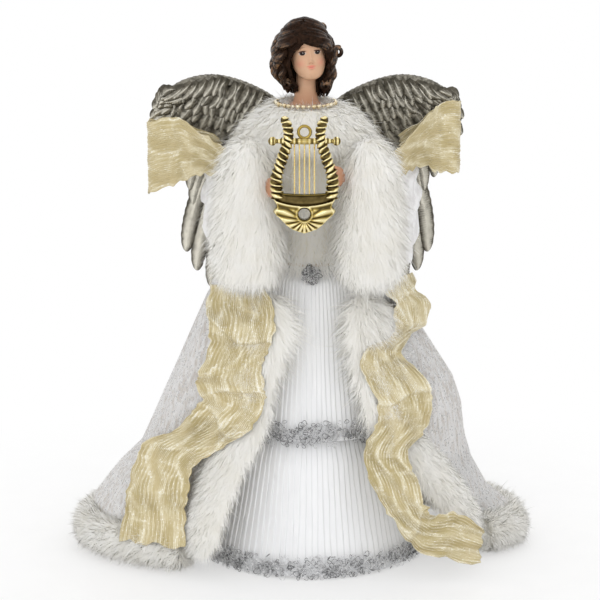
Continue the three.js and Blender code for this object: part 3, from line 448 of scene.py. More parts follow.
def dress(made, slot, *replaced):
    """A piece rides on the body and stands in for the nodes that it replaces; its material slot is not
    used.
    """
    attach(made, "root")
    if replaced:
        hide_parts(*replaced)
    return made


def area_of(made):
    return sum(polygon.area for polygon in made.data.polygons)


def tube(line, radii, sides, outward, wraps=False, growth=1):
    """Rings of points along a line. Radii are one or two half sizes, at each point or at all of them."""
    along = along_of(line, wraps)
    across = unit(np.cross(along, outward))
    outward = np.cross(across, along)
    radii = np.asarray(radii, float)
    if radii.ndim < 2:
        radii = radii.reshape(-1, 1)
    angles = turns(sides)
    wide, deep = np.cos(angles) * radii[:, :1] * growth, np.sin(angles) * radii[:, -1:] * growth
    return line[:, None] + across[:, None] * wide[..., None] + outward[:, None] * deep[..., None]


def tube_faces(rows, sides, wraps=False, start=0):
    """The faces of a tube, with a fan closing each end where it doesn't wrap."""
    faces = [grid_faces(rows, sides, wraps=True, closes=wraps) + start]
    if not wraps:
        places = np.arange(1, sides - 1)
        first = np.stack([np.zeros_like(places), places + 1, places], -1) + start
        last = np.stack([np.zeros_like(places), places, places + 1], -1) + start + (rows - 1) * sides
        faces += [first, last]
    return faces


def gather(parts):
    """Joins lists of (points, faces) into one list of points and one of faces."""
    points, faces, start = [], {}, 0
    for part_points, part_faces in parts:
        flat = np.asarray(part_points).reshape(-1, 3)
        points.append(flat)
        for polygons in part_faces:
            faces.setdefault(polygons.shape[1], []).append(polygons + start)
        start += len(flat)
    return np.concatenate(points), [np.concatenate(group) for group in faces.values()]


# Materials
def opaque(value):
    """A colour of three shares gets its fourth, and any other value stays as it is."""
    return (*value, 1) if isinstance(value, tuple) and len(value) == 3 else value


class Paint:
    """A material, and short ways to add nodes to it."""

    def __init__(self, name, **values):
        self.material = bpy.data.materials.new(name)
        self.material.use_nodes = True
        self.tree = self.material.node_tree
        self.shader = self.tree.nodes["Principled BSDF"]
        for key, value in values.items():
            self.put(key.replace("_", " ").title().replace("Ior", "IOR"), value)

    def put(self, socket, value):
        self.join(opaque(value), self.shader.inputs[socket])

    def join(self, value, socket):
        if isinstance(value, bpy.types.NodeSocket):
            self.tree.links.new(value, socket)
        else:
            socket.default_value = value

    def node(self, kind, sockets=(), out=0, **settings):
        made = self.tree.nodes.new("ShaderNode" + kind)
        for key, value in settings.items():
            setattr(made, key, value)
        for key, value in dict(sockets).items():
            self.join(value, made.inputs[key])
        return made.outputs[out]

    def calc(self, operation, first, second=0.0):
        return self.node("Math", {0: first, 1: second}, operation=operation)

    def times(self, first, second):
        return self.calc("MULTIPLY", first, second)

    def plus(self, first, second):
        return self.calc("ADD", first, second)

    def vector(self, operation, first, second=(0, 0, 0), out=0):
        return self.node("VectorMath", {0: first, 1: second}, out=out, operation=operation)

    def place(self, source="Object"):
        return self.node("TexCoord", out=source)

    def ray(self, kind):
        return self.node("LightPath", out=f"Is {kind} Ray")

    def shade(self):
        """How bright or raised the mesh says that each point is."""
        return self.node("Attribute", out="Fac", attribute_name="shade")

    def stretched(self, x=1, y=1, z=1, source="Object"):
        return self.node("Mapping", {"Vector": self.place(source), "Scale": (x, y, z)})

    def noise(self, scale, detail=4, place=None, roughness=0.55):
        place = place or self.place()
        sockets = {"Vector": place, "Scale": scale, "Detail": detail, "Roughness": roughness}
        return self.node("TexNoise", sockets, out="Fac")

    def spread(self, value, low, high, to_low=0.0, to_high=1.0):
        sockets = {0: value, 1: low, 2: high, 3: to_low, 4: to_high}
        return self.node("MapRange", sockets, clamp=True)

    def blend(self, share, first, second):
        sockets = {0: share, 6: opaque(first), 7: opaque(second)}
        return self.node("Mix", sockets, out=2, data_type="RGBA")

    def tone(self, value, low, high, first, second):
        """A colour that goes from the first to the second as a value goes from low to high."""
        return self.blend(self.spread(value, low, high), first, second)

    def bump(self, height, distance, strength=1.0):
        sockets = {"Height": height, "Distance": distance, "Strength": strength}
        self.put("Normal", self.node("Bump", sockets))

    def mix_in(self, share, shader):
        """Lays a share of another shader over the paint."""
        mixed = self.node("MixShader", {0: share, 1: self.shader.outputs[0], 2: shader})
        self.tree.links.new(mixed, self.tree.nodes["Material Output"].inputs[0])


def card_paint():
    paint = Paint("craft_card", roughness=0.85)
    fibres = paint.noise(900, 6, paint.stretched(1, 1, 0.25))
    colour = paint.tone(paint.noise(40, 3), 0.35, 0.65, (0.52, 0.38, 0.22), (0.62, 0.48, 0.3))
    grain = paint.spread(fibres, 0.4, 0.7, 0, 0.35)
    paint.put("Base Color", paint.blend(grain, colour, (0.38, 0.27, 0.16)))
    paint.bump(fibres, card_relief, 0.6)
    return paint.material


def pleat_paint():
    paint = Paint("pleated_satin", roughness=0.5, sheen_weight=0.25, sheen_roughness=0.4)
    weave = paint.noise(2600, 2, paint.stretched(1, 1, 0.2))
    slubs = paint.noise(160, 5, paint.stretched(1, 1, 0.12))
    paint.put("Base Color", paint.tone(slubs, 0.3, 0.7, (0.86, 0.865, 0.88), (0.9, 0.905, 0.915)))
    paint.put("Roughness", paint.spread(weave, 0.3, 0.7, 0.42, 0.62))
    paint.bump(paint.plus(weave, slubs), satin_relief, 0.5)
    return paint.material


def silver_paint():
    """Metallic gimp: each loop of wire has its own brightness."""
    paint = Paint("silver_wire", metallic=0.9)
    tarnish = paint.noise(700, 4)
    wire = paint.tone(paint.shade(), 0.28, 0.45, (0.05, 0.05, 0.055), (0.86, 0.86, 0.87))
    bright = paint.spread(tarnish, 0.4, 0.7, 0, 0.6)
    paint.put("Base Color", paint.blend(bright, wire, (0.93, 0.93, 0.94)))
    paint.put("Roughness", paint.spread(tarnish, 0.3, 0.7, 0.2, 0.4))
    paint.bump(paint.noise(4000, 2), wire_relief, 0.5)
    return paint.material


def let_light_by(paint, in_shadow, on_bounce):
    """Mixes a clear share into a paint for rays that carry light, and none for those that look at it."""
    shadow = paint.times(paint.ray("Shadow"), in_shadow)
    bounced = paint.times(paint.ray("Diffuse"), on_bounce)
    clear = paint.node("BsdfTransparent", {0: passed_light_tint})
    paint.mix_in(paint.calc("MAXIMUM", shadow, bounced), clear)


def plush_paint():
    paint = Paint("plush_backing", roughness=0.95, sheen_weight=0.4, sheen_roughness=0.5)
    tufts = paint.noise(90, 3)
    paint.put("Base Color", paint.tone(tufts, 0.3, 0.7, (0.9, 0.855, 0.73), (0.95, 0.92, 0.83)))
    paint.bump(paint.noise(700, 6, paint.stretched(1, 1, 0.35)), plush_relief, 0.7)
    let_light_by(paint, 0.65, 0.5)
    return paint.material


def fur_paint():
    """White pile. Its fine strands let most of the light past them, into the pile below."""
    paint = Paint("white_pile", roughness=0.8)
    tint = paint.tone(paint.noise(70, 3), 0.35, 0.65, (0.94, 0.92, 0.865), (0.985, 0.975, 0.95))
    # The roots keep the creamier tint and the tips are paler: painted shade deep in the pile, with each
    # strand's tone also differing at random.
    paint.put("Base Color", paint.blend(paint.times(paint.shade(), 0.5), tint, (0.99, 0.99, 0.985)))
    let_light_by(paint, 0.97, 0.72)
    return paint.material


# The painted face. Rows of the sides that a spot is on, its place across and up, its half width and half
# height, the share of it that fades, its slant, its strength and its colour. Places and sizes across are
# shares of the head's half width, and those up are shares of its height
# The rows are the cheeks, painted shade round the eyes, the whites of the eyes, the dark irises, the
# lashes, a painted highlight in each eye, the brows, the nostrils, the two lips and the line between them.
face_spot_shares = [
    [(-1, 1), 0.594, 0.307, 0.359, 0.098, 0.95, 0, 0.5, (0.74, 0.27, 0.2)],
    [(-1, 1), 0.438, 0.505, 0.266, 0.059, 0.9, 0, 0.4, (0.4, 0.2, 0.12)],
    [(-1, 1), 0.438, 0.485, 0.227, 0.034, 0.25, 0, 1, (0.7, 0.6, 0.52)],
    [(-1, 1), 0.438, 0.489, 0.172, 0.0415, 0.2, 0, 1, (0.012, 0.004, 0.002)],
    [(-1, 1), 0.438, 0.5195, 0.258, 0.018, 0.4, -0.1, 1, (0.06, 0.025, 0.018)],
    [(1,), -0.406, 0.4975, 0.023, 0.007, 0.4, 0, 1, (0.9, 0.88, 0.85)],
    [(1,), 0.469, 0.4975, 0.023, 0.007, 0.4, 0, 1, (0.9, 0.88, 0.85)],
    [(-1, 1), 0.445, 0.59, 0.242, 0.0145, 0.7, -0.14, 0.5, (0.25, 0.11, 0.06)],
    [(-1, 1), 0.086, 0.3, 0.055, 0.01, 0.8, 0, 1, (0.5, 0.22, 0.15)],
    [(1,), 0, 0.251, 0.344, 0.027, 0.6, 0, 1, (0.72, 0.24, 0.17)],
    [(1,), 0, 0.2195, 0.266, 0.029, 0.6, 0, 1, (0.76, 0.3, 0.22)],
    [(1,), 0, 0.2355, 0.172, 0.005, 0.5, 0, 1, (0.42, 0.1, 0.08)],
]


def with_spots(paint, colour, local):
    """Soft spots of colour on the front of the head, in the head's own directions."""
    depth = paint.node("SeparateXYZ", {0: local}, out=1)
    front = paint.spread(depth, -paint_start_depth, -paint_full_depth)
    flat = paint.vector("MULTIPLY", local, (1, 0, 1))
    for sides, across, up, wide, high, softness, slant, strength, tint in face_spot_shares:
        size = (wide * head_half_width, head_half_width, high * head_height)
        for side in sides:
            centre = (side * across * head_half_width, 0, up * head_height)
            off = paint.vector("SUBTRACT", flat, centre)
            sockets = {"Vector": off, "Angle": side * slant}
            turned = paint.node("VectorRotate", sockets, rotation_type="Y_AXIS")
            length = paint.vector("LENGTH", paint.vector("DIVIDE", turned, size), out=1)
            spot = paint.times(paint.spread(length, 1, 1 - softness), front)
            colour = paint.blend(paint.times(spot, strength), colour, tint)
    return colour


def skin_paint():
    """Painted skin, darker and redder down the neck under the chin as painted shade, with its eyes, brows,
    lips and cheeks painted on.
    """
    paint = Paint("painted_skin", roughness=0.42, specular_ior_level=0.25, subsurface_weight=0.08)
    reaches = (skin_red_reach, skin_green_reach, skin_blue_reach)
    paint.shader.inputs["Subsurface Radius"].default_value = reaches
    moved = paint.vector("SUBTRACT", paint.place(), head_pivot)
    untilted = paint.node("VectorRotate", {"Vector": moved, "Angle": head_tilt}, rotation_type="Y_AXIS")
    local = paint.node("VectorRotate", {"Vector": untilted, "Angle": -head_turn}, rotation_type="Z_AXIS")
    base = paint.tone(paint.noise(60, 4), 0.35, 0.65, (0.62, 0.37, 0.23), (0.69, 0.43, 0.28))
    height = paint.node("SeparateXYZ", {0: paint.place()}, out=2)
    # Painted shade under the chin, growing down the neck.
    neck_shade = paint.spread(height, neck_shade_top_height, neck_shade_full_height, 0, 0.75)
    paint.put("Base Color", with_spots(paint, paint.blend(neck_shade, base, (0.5, 0.23, 0.13)), local))
    paint.bump(paint.noise(1400, 3), skin_relief, 0.4)
    return paint.material


def hair_paint():
    """Dark brown, with bronze rubbed on the crests that shade marks."""
    paint = Paint("painted_hair")
    shade = paint.shade()
    streaks = paint.noise(420, 4)
    dark = paint.tone(streaks, 0.3, 0.7, (0.01, 0.006, 0.004), (0.04, 0.02, 0.012))
    rubbed = paint.times(paint.spread(shade, 0.5, 0.95, 0, 0.9), paint.spread(streaks, 0.4, 0.6))
    paint.put("Base Color", paint.blend(rubbed, dark, (0.3, 0.16, 0.075)))
    paint.put("Roughness", paint.spread(streaks, 0.3, 0.7, 0.22, 0.4))
    paint.put("Specular IOR Level", paint.spread(shade, 0.25, 0.9, 0.03, 0.5))
    paint.bump(streaks, hair_relief, 0.4)
    return paint.material


def bead_paint():
    paint = Paint("gold_bead", metallic=0.85, coat_weight=0.5, coat_roughness=0.08)
    pearl = paint.noise(300, 3)
    paint.put("Base Color", paint.tone(pearl, 0.35, 0.65, (0.62, 0.47, 0.24), (0.86, 0.79, 0.62)))
    paint.put("Roughness", paint.spread(pearl, 0.3, 0.7, 0.12, 0.26))
    paint.bump(paint.noise(1800, 2), bead_relief, 0.4)
    return paint.material


def net_paint():
    """Sheer glitter net: fine slanting threads with open cells and scattered bright flecks."""
    paint = Paint("glitter_net", sheen_weight=0.35, sheen_roughness=0.35)
    across, along = (paint.node("SeparateXYZ", {0: paint.place("UV")}, out=axis) for axis in (0, 1))

    def threads(operation):
        slant = paint.calc(operation, across, paint.times(along, 0.7))
        wave = paint.calc("SINE", paint.times(slant, full_turn / net_thread_spacing))
        return paint.spread(wave, -0.1, 0.5)

    net = paint.calc("MAXIMUM", threads("ADD"), threads("SUBTRACT"))
    flecks = paint.node("TexVoronoi", {"Vector": paint.place(), "Scale": 900}, out=1)
    bright = paint.spread(paint.node("SeparateColor", {0: flecks}, out=0), 0.8, 0.95)
    # The cloth's colour is paler along fine upright lines and darker in broad upright patches: the lines
    # are the cloth's own, the patches are painted shade of folds.
    lines = paint.noise(420, 4, paint.stretched(1, 1, 0.05))
    folds = paint.noise(24, 3, paint.stretched(1, 1, 0.25))
    weight = paint.plus(paint.times(folds, 0.25), paint.times(lines, 0.75))
    cloth = paint.tone(weight, 0.42, 0.54, (0.74, 0.69, 0.64), (0.99, 0.98, 0.97))
    paint.put("Base Color", paint.blend(bright, cloth, (0.98, 0.97, 0.97)))
    paint.put("Metallic", paint.times(bright, 0.6))
    paint.put("Roughness", paint.spread(bright, 0, 1, 0.5, 0.2))
    paint.put("Alpha", paint.spread(net, 0, 1, 0.5, 1))
    paint.bump(paint.plus(paint.plus(net, bright), paint.times(lines, 4.0)), net_relief, 0.9)
    return paint.material


def steel_paint():
    paint = Paint("dull_steel", metallic=1.0)
    brushed = paint.noise(900, 4, paint.stretched(1, 0.15, 1))
    paint.put("Base Color", paint.tone(brushed, 0.3, 0.7, (0.34, 0.35, 0.36), (0.5, 0.5, 0.52)))
    paint.put("Roughness", paint.spread(brushed, 0.3, 0.7, 0.3, 0.5))
    paint.bump(brushed, steel_relief, 0.5)
    return paint.material


def gold_paint():
    """Mirror gold, painted dark olive-brown in its hollows and pale on the crests that shade marks: painted
    dark reflections and painted highlights.
    """
    paint = Paint("plated_gold", metallic=1.0)
    haze = paint.noise(120, 4)
    wear = paint.noise(600, 5)
    ridge = paint.plus(paint.shade(), paint.times(haze, 0.15))
    # The dark olive-brown in the hollows is a painted dark reflection, and the pale top of the plate colour
    # is a painted highlight.
    painted_dark_reflection = paint.tone(haze, 0.35, 0.65, (0.05, 0.035, 0.012), (0.13, 0.095, 0.035))
    plate = paint.tone(ridge, 0.68, 1.02, (0.4, 0.29, 0.07), (0.9, 0.79, 0.45))
    paint.put("Base Color", paint.tone(ridge, 0.36, 0.72, painted_dark_reflection, plate))
    paint.put("Roughness", paint.spread(wear, 0.35, 0.7, 0.08, 0.2))
    paint.bump(wear, gold_relief, 0.35)
    return paint.material


def string_paint():
    paint = Paint("string_gold", metallic=0.9)
    wound = paint.noise(900, 3, paint.stretched(0.2, 0.2, 3))
    paint.put("Base Color", paint.tone(wound, 0.35, 0.65, (0.7, 0.5, 0.16), (0.92, 0.76, 0.36)))
    paint.put("Roughness", paint.spread(wound, 0.3, 0.7, 0.2, 0.34))
    paint.bump(wound, string_relief, 0.5)
    return paint.material


def velvet_paint():
    """Crushed velvet: patches of pile lying different ways, some silvery and some dull, with the silvery
    ones painted paler as a painted sheen.
    """
    paint = Paint("crushed_velvet", sheen_weight=0.7, sheen_roughness=0.3)
    crush = paint.noise(150, 5, paint.stretched(1, 1, 0.45), 0.7)
    paint.put("Base Color", paint.tone(crush, 0.44, 0.56, (0.8, 0.785, 0.785), (0.98, 0.975, 0.98)))
    paint.put("Roughness", paint.spread(crush, 0.4, 0.6, 0.6, 0.34))
    paint.put("Metallic", paint.spread(crush, 0.48, 0.62, 0, 0.35))
    paint.bump(paint.plus(paint.times(crush, 4.0), paint.noise(1500, 3)), velvet_relief, 0.9)
    return paint.material


def pewter_paint():
    """Antique silver: bright on the ridges that shade marks, dark in the hollows."""
    paint = Paint("antique_silver", metallic=0.8)
    patina = paint.noise(260, 5)
    worn = paint.plus(paint.shade(), paint.times(paint.calc("SUBTRACT", patina, 0.5), 0.6))
    dark = paint.tone(patina, 0.35, 0.65, (0.06, 0.055, 0.042), (0.15, 0.135, 0.105))
    paint.put("Base Color", paint.tone(worn, 0.32, 0.92, dark, (0.7, 0.67, 0.58)))
    paint.put("Roughness", paint.spread(worn, 0.2, 0.8, 0.5, 0.27))
    paint.bump(patina, pewter_relief, 0.4)
    return paint.material


def ribbon_paint():
    """Crinkled metallic ribbon: champagne gold, with painted highlights on its creases and glints and
    painted shade in its hollows.
    """
    paint = Paint("crinkled_lame", sheen_weight=0.2)
    crinkle = paint.noise(620, 4, paint.stretched(1, 0.2, 1, "UV"), 0.7)
    glints = paint.noise(1300, 3, paint.stretched(1, 0.45, 1, "UV"))
    ridge = paint.shade()
    weight = paint.plus(paint.times(crinkle, 0.6), paint.times(ridge, 0.4))
    # The deep colour is painted shade in the hollows of the crinkles.
    deep = paint.tone(paint.noise(38, 2), 0.35, 0.65, (0.5, 0.41, 0.2), (0.62, 0.52, 0.29))
    colour = paint.tone(weight, 0.36, 0.6, deep, (0.82, 0.75, 0.54))
    # The bright colour on the glints and the raised creases is a painted highlight.
    bright = paint.spread(paint.plus(glints, paint.times(ridge, 0.3)), 0.7, 0.8)
    paint.put("Base Color", paint.blend(bright, colour, (0.98, 0.95, 0.85)))
    paint.put("Metallic", paint.spread(glints, 0.4, 0.65, 0.1, 0.45))
    paint.put("Roughness", paint.spread(glints, 0.5, 0.7, 0.6, 0.36))
    paint.bump(paint.plus(crinkle, paint.times(glints, 0.6)), ribbon_relief, 0.9)
    return paint.material


satin, silver, plush, pile, skin = pleat_paint(), silver_paint(), plush_paint(), fur_paint(), skin_paint()
hair_coat, bead_gold, net, velvet = hair_paint(), bead_paint(), net_paint(), velvet_paint()
gold, pewter, lame = gold_paint(), pewter_paint(), ribbon_paint()
steel, string_gold = steel_paint(), string_paint()

plain_nodes = {"body_cone": card_paint(), "wing_bracket": steel}
plain_nodes.update({f"arm_wire_{name}": steel for name in ("left", "right")})
plain_nodes.update({f"lyre_string_{place}": string_gold for place in range(1, 6)})
for name, finish in plain_nodes.items():
    for slot in nodes[name].material_slots:
        slot.material = finish


# Surfaces that the pieces share
def cone_radius_at(height):
    return mix(cone_base_radius, cone_top_radius, height / cone_height)


def skirt_radius_at(height):
    return mix(skirt_hem_radius, skirt_waist_radius, height / waist_height)


def trimmed_skirt_radius_at(height):
    return skirt_radius_at(height - braid_half_height * 2) + braid_half_depth * 2 + fit_gap * 2


# The pleated skirt. Each pleat is a row of shares: of the way round it, and of its depth inward
pleat_shares = np.array([
    [0.02, 1], [0.3, 0.62], [0.6, 0.3], [0.86, 0.05], [1.0, 0], [1.05, 0.25], [1.0, 0.85],
])


def skirt_tier(name, node, rows, seed):
    """rows are [height, radius, pleat depth share]; between them the tier is straight."""
    rows = np.array(rows)
    steps = 46
    height = np.linspace(rows[0, 0], rows[-1, 0], steps)
    radius = np.interp(height, rows[:, 0], rows[:, 1])
    depth = np.interp(height, rows[:, 0], rows[:, 2]) * pleat_depth
    drift = wander(seed, pleat_count, np.linspace(0, 1, steps))[:, :, None] * 0.16
    swell = wander(seed + 1, pleat_count, np.linspace(0, 1, steps))[:, :, None] * pleat_swell
    pleats = np.arange(pleat_count)[:, None, None] + pleat_shares[:, 0]
    turn = (pleats + drift) / pleat_count * full_turn
    reach = radius[:, None] - pleat_shares[:, 1] * depth[:, None] + swell * depth[:, None] / pleat_depth
    points = spokes(turn) * reach[..., None] - down * height[:, None, None]
    columns = pleat_count * len(pleat_shares)
    points = points.transpose(1, 0, 2, 3).reshape(steps, columns, 3)
    made = mesh_object(name, points, [grid_faces(steps, columns, wraps=True)], satin)
    applied(made, ("SOLIDIFY", {"thickness": pleat_cloth, "offset": -1}))
    dress(made, "pleated_cloth", node)


lower_bend = upper_hem_height - tier_overlap
lower_top = upper_hem_height + tier_overlap
skirt_tier("pleats_lower", "skirt_lower_tier", [
    [skirt_hem_height, skirt_hem_radius, 1],
    [lower_bend, skirt_radius_at(lower_bend) - tier_step, 1],
    [lower_top, cone_radius_at(lower_top) + tier_step / 2, 0.2],
], 11)
skirt_tier("pleats_upper", "skirt_upper_tier", [
    [upper_hem_height, skirt_radius_at(upper_hem_height), 1],
    [waist_height - waist_gather, skirt_radius_at(waist_height - waist_gather), 1],
    [waist_height, cone_radius_at(waist_height) + tier_step / 2, 0.4],
], 12)


# The looped wire braid: small rings of wire, each at its own place and turned its own way
def wire_loops(name, node, places, outward, radii, seed):
    random = np.random.default_rng(seed)
    count = len(places)
    steps, sides = 12, 3
    turn, angles = turns(steps), turns(sides)[:, None]
    squash = random.uniform(0.55, 1, (count, 1))
    wobble = 1 + 0.12 * np.sin(turn * 3 + random.uniform(0, full_turn, (count, 1)))
    first = unit(np.cross(outward, unit(random.normal(size=(count, 3)))))
    lean = unit(outward + random.normal(size=(count, 3)) * 0.55)
    second = unit(np.cross(lean, first))
    ring_x = np.cos(turn) * radii[:, None] * wobble
    ring_y = np.sin(turn) * radii[:, None] * squash * wobble
    line = places[:, None] + first[:, None] * ring_x[..., None] + second[:, None] * ring_y[..., None]
    spoke = unit(line - places[:, None])[:, :, None]
    normal = unit(np.cross(first, second))[:, None, None]
    points = line[:, :, None] + braid_wire * (spoke * np.cos(angles) + normal * np.sin(angles))
    ring = grid_faces(steps, sides, wraps=True, closes=True)
    faces = (ring + (np.arange(count) * steps * sides)[:, None, None]).reshape(-1, 4)
    tone = np.repeat(random.uniform(0, 1, count), steps * sides)
    dress(mesh_object(name, points, [faces], silver, shade=tone), "silver_braid", node)


def braid(name, node, height, seed):
    random = np.random.default_rng(seed)
    radius = skirt_radius_at(height) + fit_gap
    count = int(full_turn * radius * braid_loops_per_metre)
    turn = random.uniform(0, full_turn, count)
    rise = random.normal(0, 0.55, count).clip(-1, 1) * (braid_half_height + braid_fray)
    stand = random.uniform(0.3, 1, count) * braid_half_depth * 1.7
    outward = spokes(turn)
    places = outward * (radius + stand)[:, None]
    places[:, 2] = np.maximum(height + rise, braid_loop_radius * 0.9)
    radii = random.uniform(0.4, 1.2, count) * braid_loop_radius
    wire_loops(name, node, places, outward, radii, seed + 1)
    cores = []
    steps, sides = 480, 5
    around = turns(steps)
    for strand, level in enumerate((-0.55, 0, 0.55)):
        wave = np.sin(around * 90 + strand * 2) * braid_half_height * 0.22
        line = spokes(around) * (radius + braid_half_depth)
        line[:, 2] = height + level * braid_half_height + wave
        rings = tube(line, braid_wire * 1.6, sides, spokes(around), wraps=True)
        cores.append((rings, tube_faces(steps, sides, wraps=True)))
    points, faces = gather(cores)
    made = mesh_object(name + "_core", points, faces, silver, shade=np.full(len(points), 0.6))
    dress(made, "silver_braid")


braid("gimp_lower", "braid_lower", skirt_hem_height + braid_half_height, 21)
braid("gimp_upper", "braid_upper", upper_hem_height + braid_half_height, 22)


def rosette():
    random = np.random.default_rng(23)
    height = waist_height - rosette_half_depth
    front = -skirt_radius_at(waist_height - waist_gather / 2) - fit_gap
    turn = random.uniform(0, full_turn, rosette_loops)
    reach = np.sqrt(random.uniform(0.02, 1, rosette_loops)) * rosette_radius * 0.85
    places = np.stack([
        np.cos(turn) * reach,
        front - random.uniform(0.1, 1, rosette_loops) * braid_half_depth * 2,
        height + np.sin(turn) * reach,
    ], -1)
    radii = random.uniform(0.6, 1.1, rosette_loops) * braid_loop_radius
    wire_loops("gimp_rosette", "waist_rosette", places, forward, radii, 24)


rosette()


# Fur. Each strand is a flat blade that leaves its backing one way and falls another
def backing(name, node, slot_name, shrink, voxel=pile_voxel, finish=plush):
    """A smooth soft body in the place of a node, a little inside it, for the pile to stand on."""
    made = linked(name, nodes[node].data.copy())
    softened(made, finish, voxel, 0.7, 6, ("DISPLACE", {"strength": -shrink, "mid_level": 0}))
    dress(made, slot_name, node)
    return made


def scattered(made, count, random, keep=None):
    """Random places over an object's surface, with the way that the surface faces there."""
    mesh = made.data
    mesh.calc_loop_triangles()
    triangles = np.zeros(len(mesh.loop_triangles) * 3, np.int32)
    mesh.loop_triangles.foreach_get("vertices", triangles)
    spots = np.zeros(len(mesh.vertices) * 3, np.float32)
    mesh.vertices.foreach_get("co", spots)
    corners = spots.reshape(-1, 3)[triangles.reshape(-1, 3)].astype(float)
    cross = np.cross(corners[:, 1] - corners[:, 0], corners[:, 2] - corners[:, 0])
    weight = np.linalg.norm(cross, axis=1)
    normals = cross / np.maximum(weight[:, None], tiny)
    if keep is not None:
        weight = weight * keep(corners.mean(1), normals)
    chosen = random.choice(len(weight), count, p=weight / weight.sum())
    first, second = random.uniform(0, 1, (2, count, 1))
    over = first + second > 1
    first, second = np.where(over, 1 - first, first), np.where(over, 1 - second, second)
    corner, beside, beyond = corners[chosen].transpose(1, 0, 2)
    return corner + (beside - corner) * first + (beyond - corner) * second, normals[chosen]


def obstacle_tree():
    """What the pile is pressed flat by: the skirt, the coat, the lyre, the ribbons and the hands."""
    points, polygons, start = [], [], 0
    pressing = ["skirt_upper_tier", "skirt_lower_tier", "lyre_frame", "coat"]
    for kind in ("ribbon_tail", "ribbon_loop", "hand"):
        pressing += [f"{kind}_{name}" for _, name in both_sides]
    for node in pressing:
        mesh = nodes[node].data
        places = [tuple(vertex.co) for vertex in mesh.vertices]
        reach = hand_reach if node.startswith("hand") else math.inf
        kept = [
            polygon.vertices for polygon in mesh.polygons
            if all(abs(places[corner][0] - lyre_centre) < reach for corner in polygon.vertices)
        ]
        points += places
        polygons += [[start + corner for corner in corners] for corners in kept]
        start += len(places)
    return bvhtree.BVHTree.FromPolygons(points, polygons)


obstacles = obstacle_tree()


def pressed(roots, line):
    """Draws in each strand that would pass through something laid over the fur."""
    tips = line[:, 2]
    reach = np.linalg.norm(tips - roots, axis=1)
    ways = (tips - roots) / reach[:, None]
    kept = np.ones(len(roots))
    for place, (root, way, length) in enumerate(zip(roots.tolist(), ways.tolist(), reach.tolist())):
        hit = obstacles.ray_cast(root, way, length * 1.3)[3]
        if hit is not None:
            kept[place] = max(hit * 0.75 / length, 0.05)
    return roots[:, None] + (line - roots[:, None]) * kept[:, None, None]


def grown(roots, normals, fall, stand, length, random):
    """Strands of four points that rise from their roots and then bend the way that they are combed."""
    count = len(roots)
    fall = unit(fall + random.normal(size=(count, 3)) * 0.26)
    rise = unit(normals * stand + fall * (1 - stand) + random.normal(size=(count, 3)) * 0.2)
    size = length * random.uniform(0.6, 1.08, count)
    size = size * np.where(random.uniform(0, 1, count) < stray_share, 1.45, 1)
    steps = np.linspace(0, 1, 4)[:, None]
    way = rise[:, None] * (steps - steps**2 / 2) + fall[:, None] * (steps**2 / 2) * 1.2
    swirl = random.normal(size=(count, 3)) * curl_share
    return roots[:, None] + size[:, None, None] * (way + swirl[:, None] * steps**2)


def clumped(roots, line, random):
    """Draws each strand a little towards the leader nearest to it."""
    count = len(roots)
    leaders = random.choice(count, max(count // 16, 1), replace=False)
    tree = kdtree.KDTree(len(leaders))
    for place, leader in enumerate(leaders):
        tree.insert(roots[leader], place)
    tree.balance()
    nearest = leaders[[tree.find(root)[1] for root in roots]]
    steps = np.linspace(0, 1, 4)[:, None]
    return line + (line[nearest] - line) * steps**1.6 * clump_share * random.uniform(0.3, 1, (count, 1, 1))


def fur(name, backing_body, count, length, fall_at, seed, stand=0.5, width=pile_width, keep=None):
    """Pile over its backing; fall_at gives the way that the strands are combed at places and normals."""
    random = np.random.default_rng(seed)
    roots, normals = scattered(backing_body, count, random, keep)
    if callable(length):
        length = length(roots, normals)
    line = grown(roots, normals, fall_at(roots, normals), stand, length, random)
    line = pressed(roots, clumped(roots, line, random))
    line[..., 2] = np.maximum(line[..., 2], pile_floor)
    along = unit(np.gradient(line, axis=1))
    across = unit(np.cross(along, random.normal(size=(count, 1, 3))))
    facing = (np.cross(along, across) * normals[:, None]).sum(-1).mean(1)
    across = across * np.where(facing > 0, -1, 1)[:, None, None]
    half = np.array([0.5, 0.48, 0.36])[:, None] * width
    left, right = line[:, :3] - across[:, :3] * half, line[:, :3] + across[:, :3] * half
    points = np.concatenate([np.stack([left, right], 2).reshape(count, 6, 3), line[:, 3:]], 1)
    start = (np.arange(count) * 7)[:, None, None]
    quads = (np.array([[0, 1, 3, 2], [2, 3, 5, 4]]) + start).reshape(-1, 4)
    tips = (np.array([[4, 5, 6]]) + start).reshape(-1, 3)
    # Each strand's tone differs at random and rises from root to tip, for the painted shade deep in the
    # pile.
    tone = random.uniform(0, 1, count)[:, None] * 0.6 + np.array([0, 0, 0.2, 0.2, 0.3, 0.3, 0.4])
    made = mesh_object(name, points, [quads, tips], pile, shade=tone)
    facing = np.cross(along, across).mean(1, keepdims=True)
    lit = unit(normals[:, None] * 1.6 - facing * 0.4 + [0, 0, 0.25])
    made.data.normals_split_custom_set_from_vertices(np.repeat(lit, 7, axis=1).reshape(-1, 3).tolist())
    dress(made, "white_fur")


def outward_of(places):
    """Level directions away from the axis of the upper body."""
    return unit(places * [1, 1, 0] - [upper_body_shift, 0, 0])


def facing_out(places, normals):
    """How far the surface at each place faces away from the axis, from -1 to 1."""
    return (normals * outward_of(places)).sum(1)


# The bodice's own pile shows between the cuffs and under the lyre
bodice_body = backing("bodice_backing", "bodice", "plush_body", chest_pile_seat)


def chest_keep(places, normals):
    return (normals[:, 1] < 0.4) * (places[:, 2] > waist_height) * (normals[:, 2] > -0.8) + 0.02


def chest_length(places, normals):
    high = smooth_share((places[:, 2] - waist_height) / chest_skirt_height)
    return chest_pile_length * mix(1.9, 1.0, high)


def chest_fall(places, normals):
    return down * 0.8 + outward_of(places) * 0.4


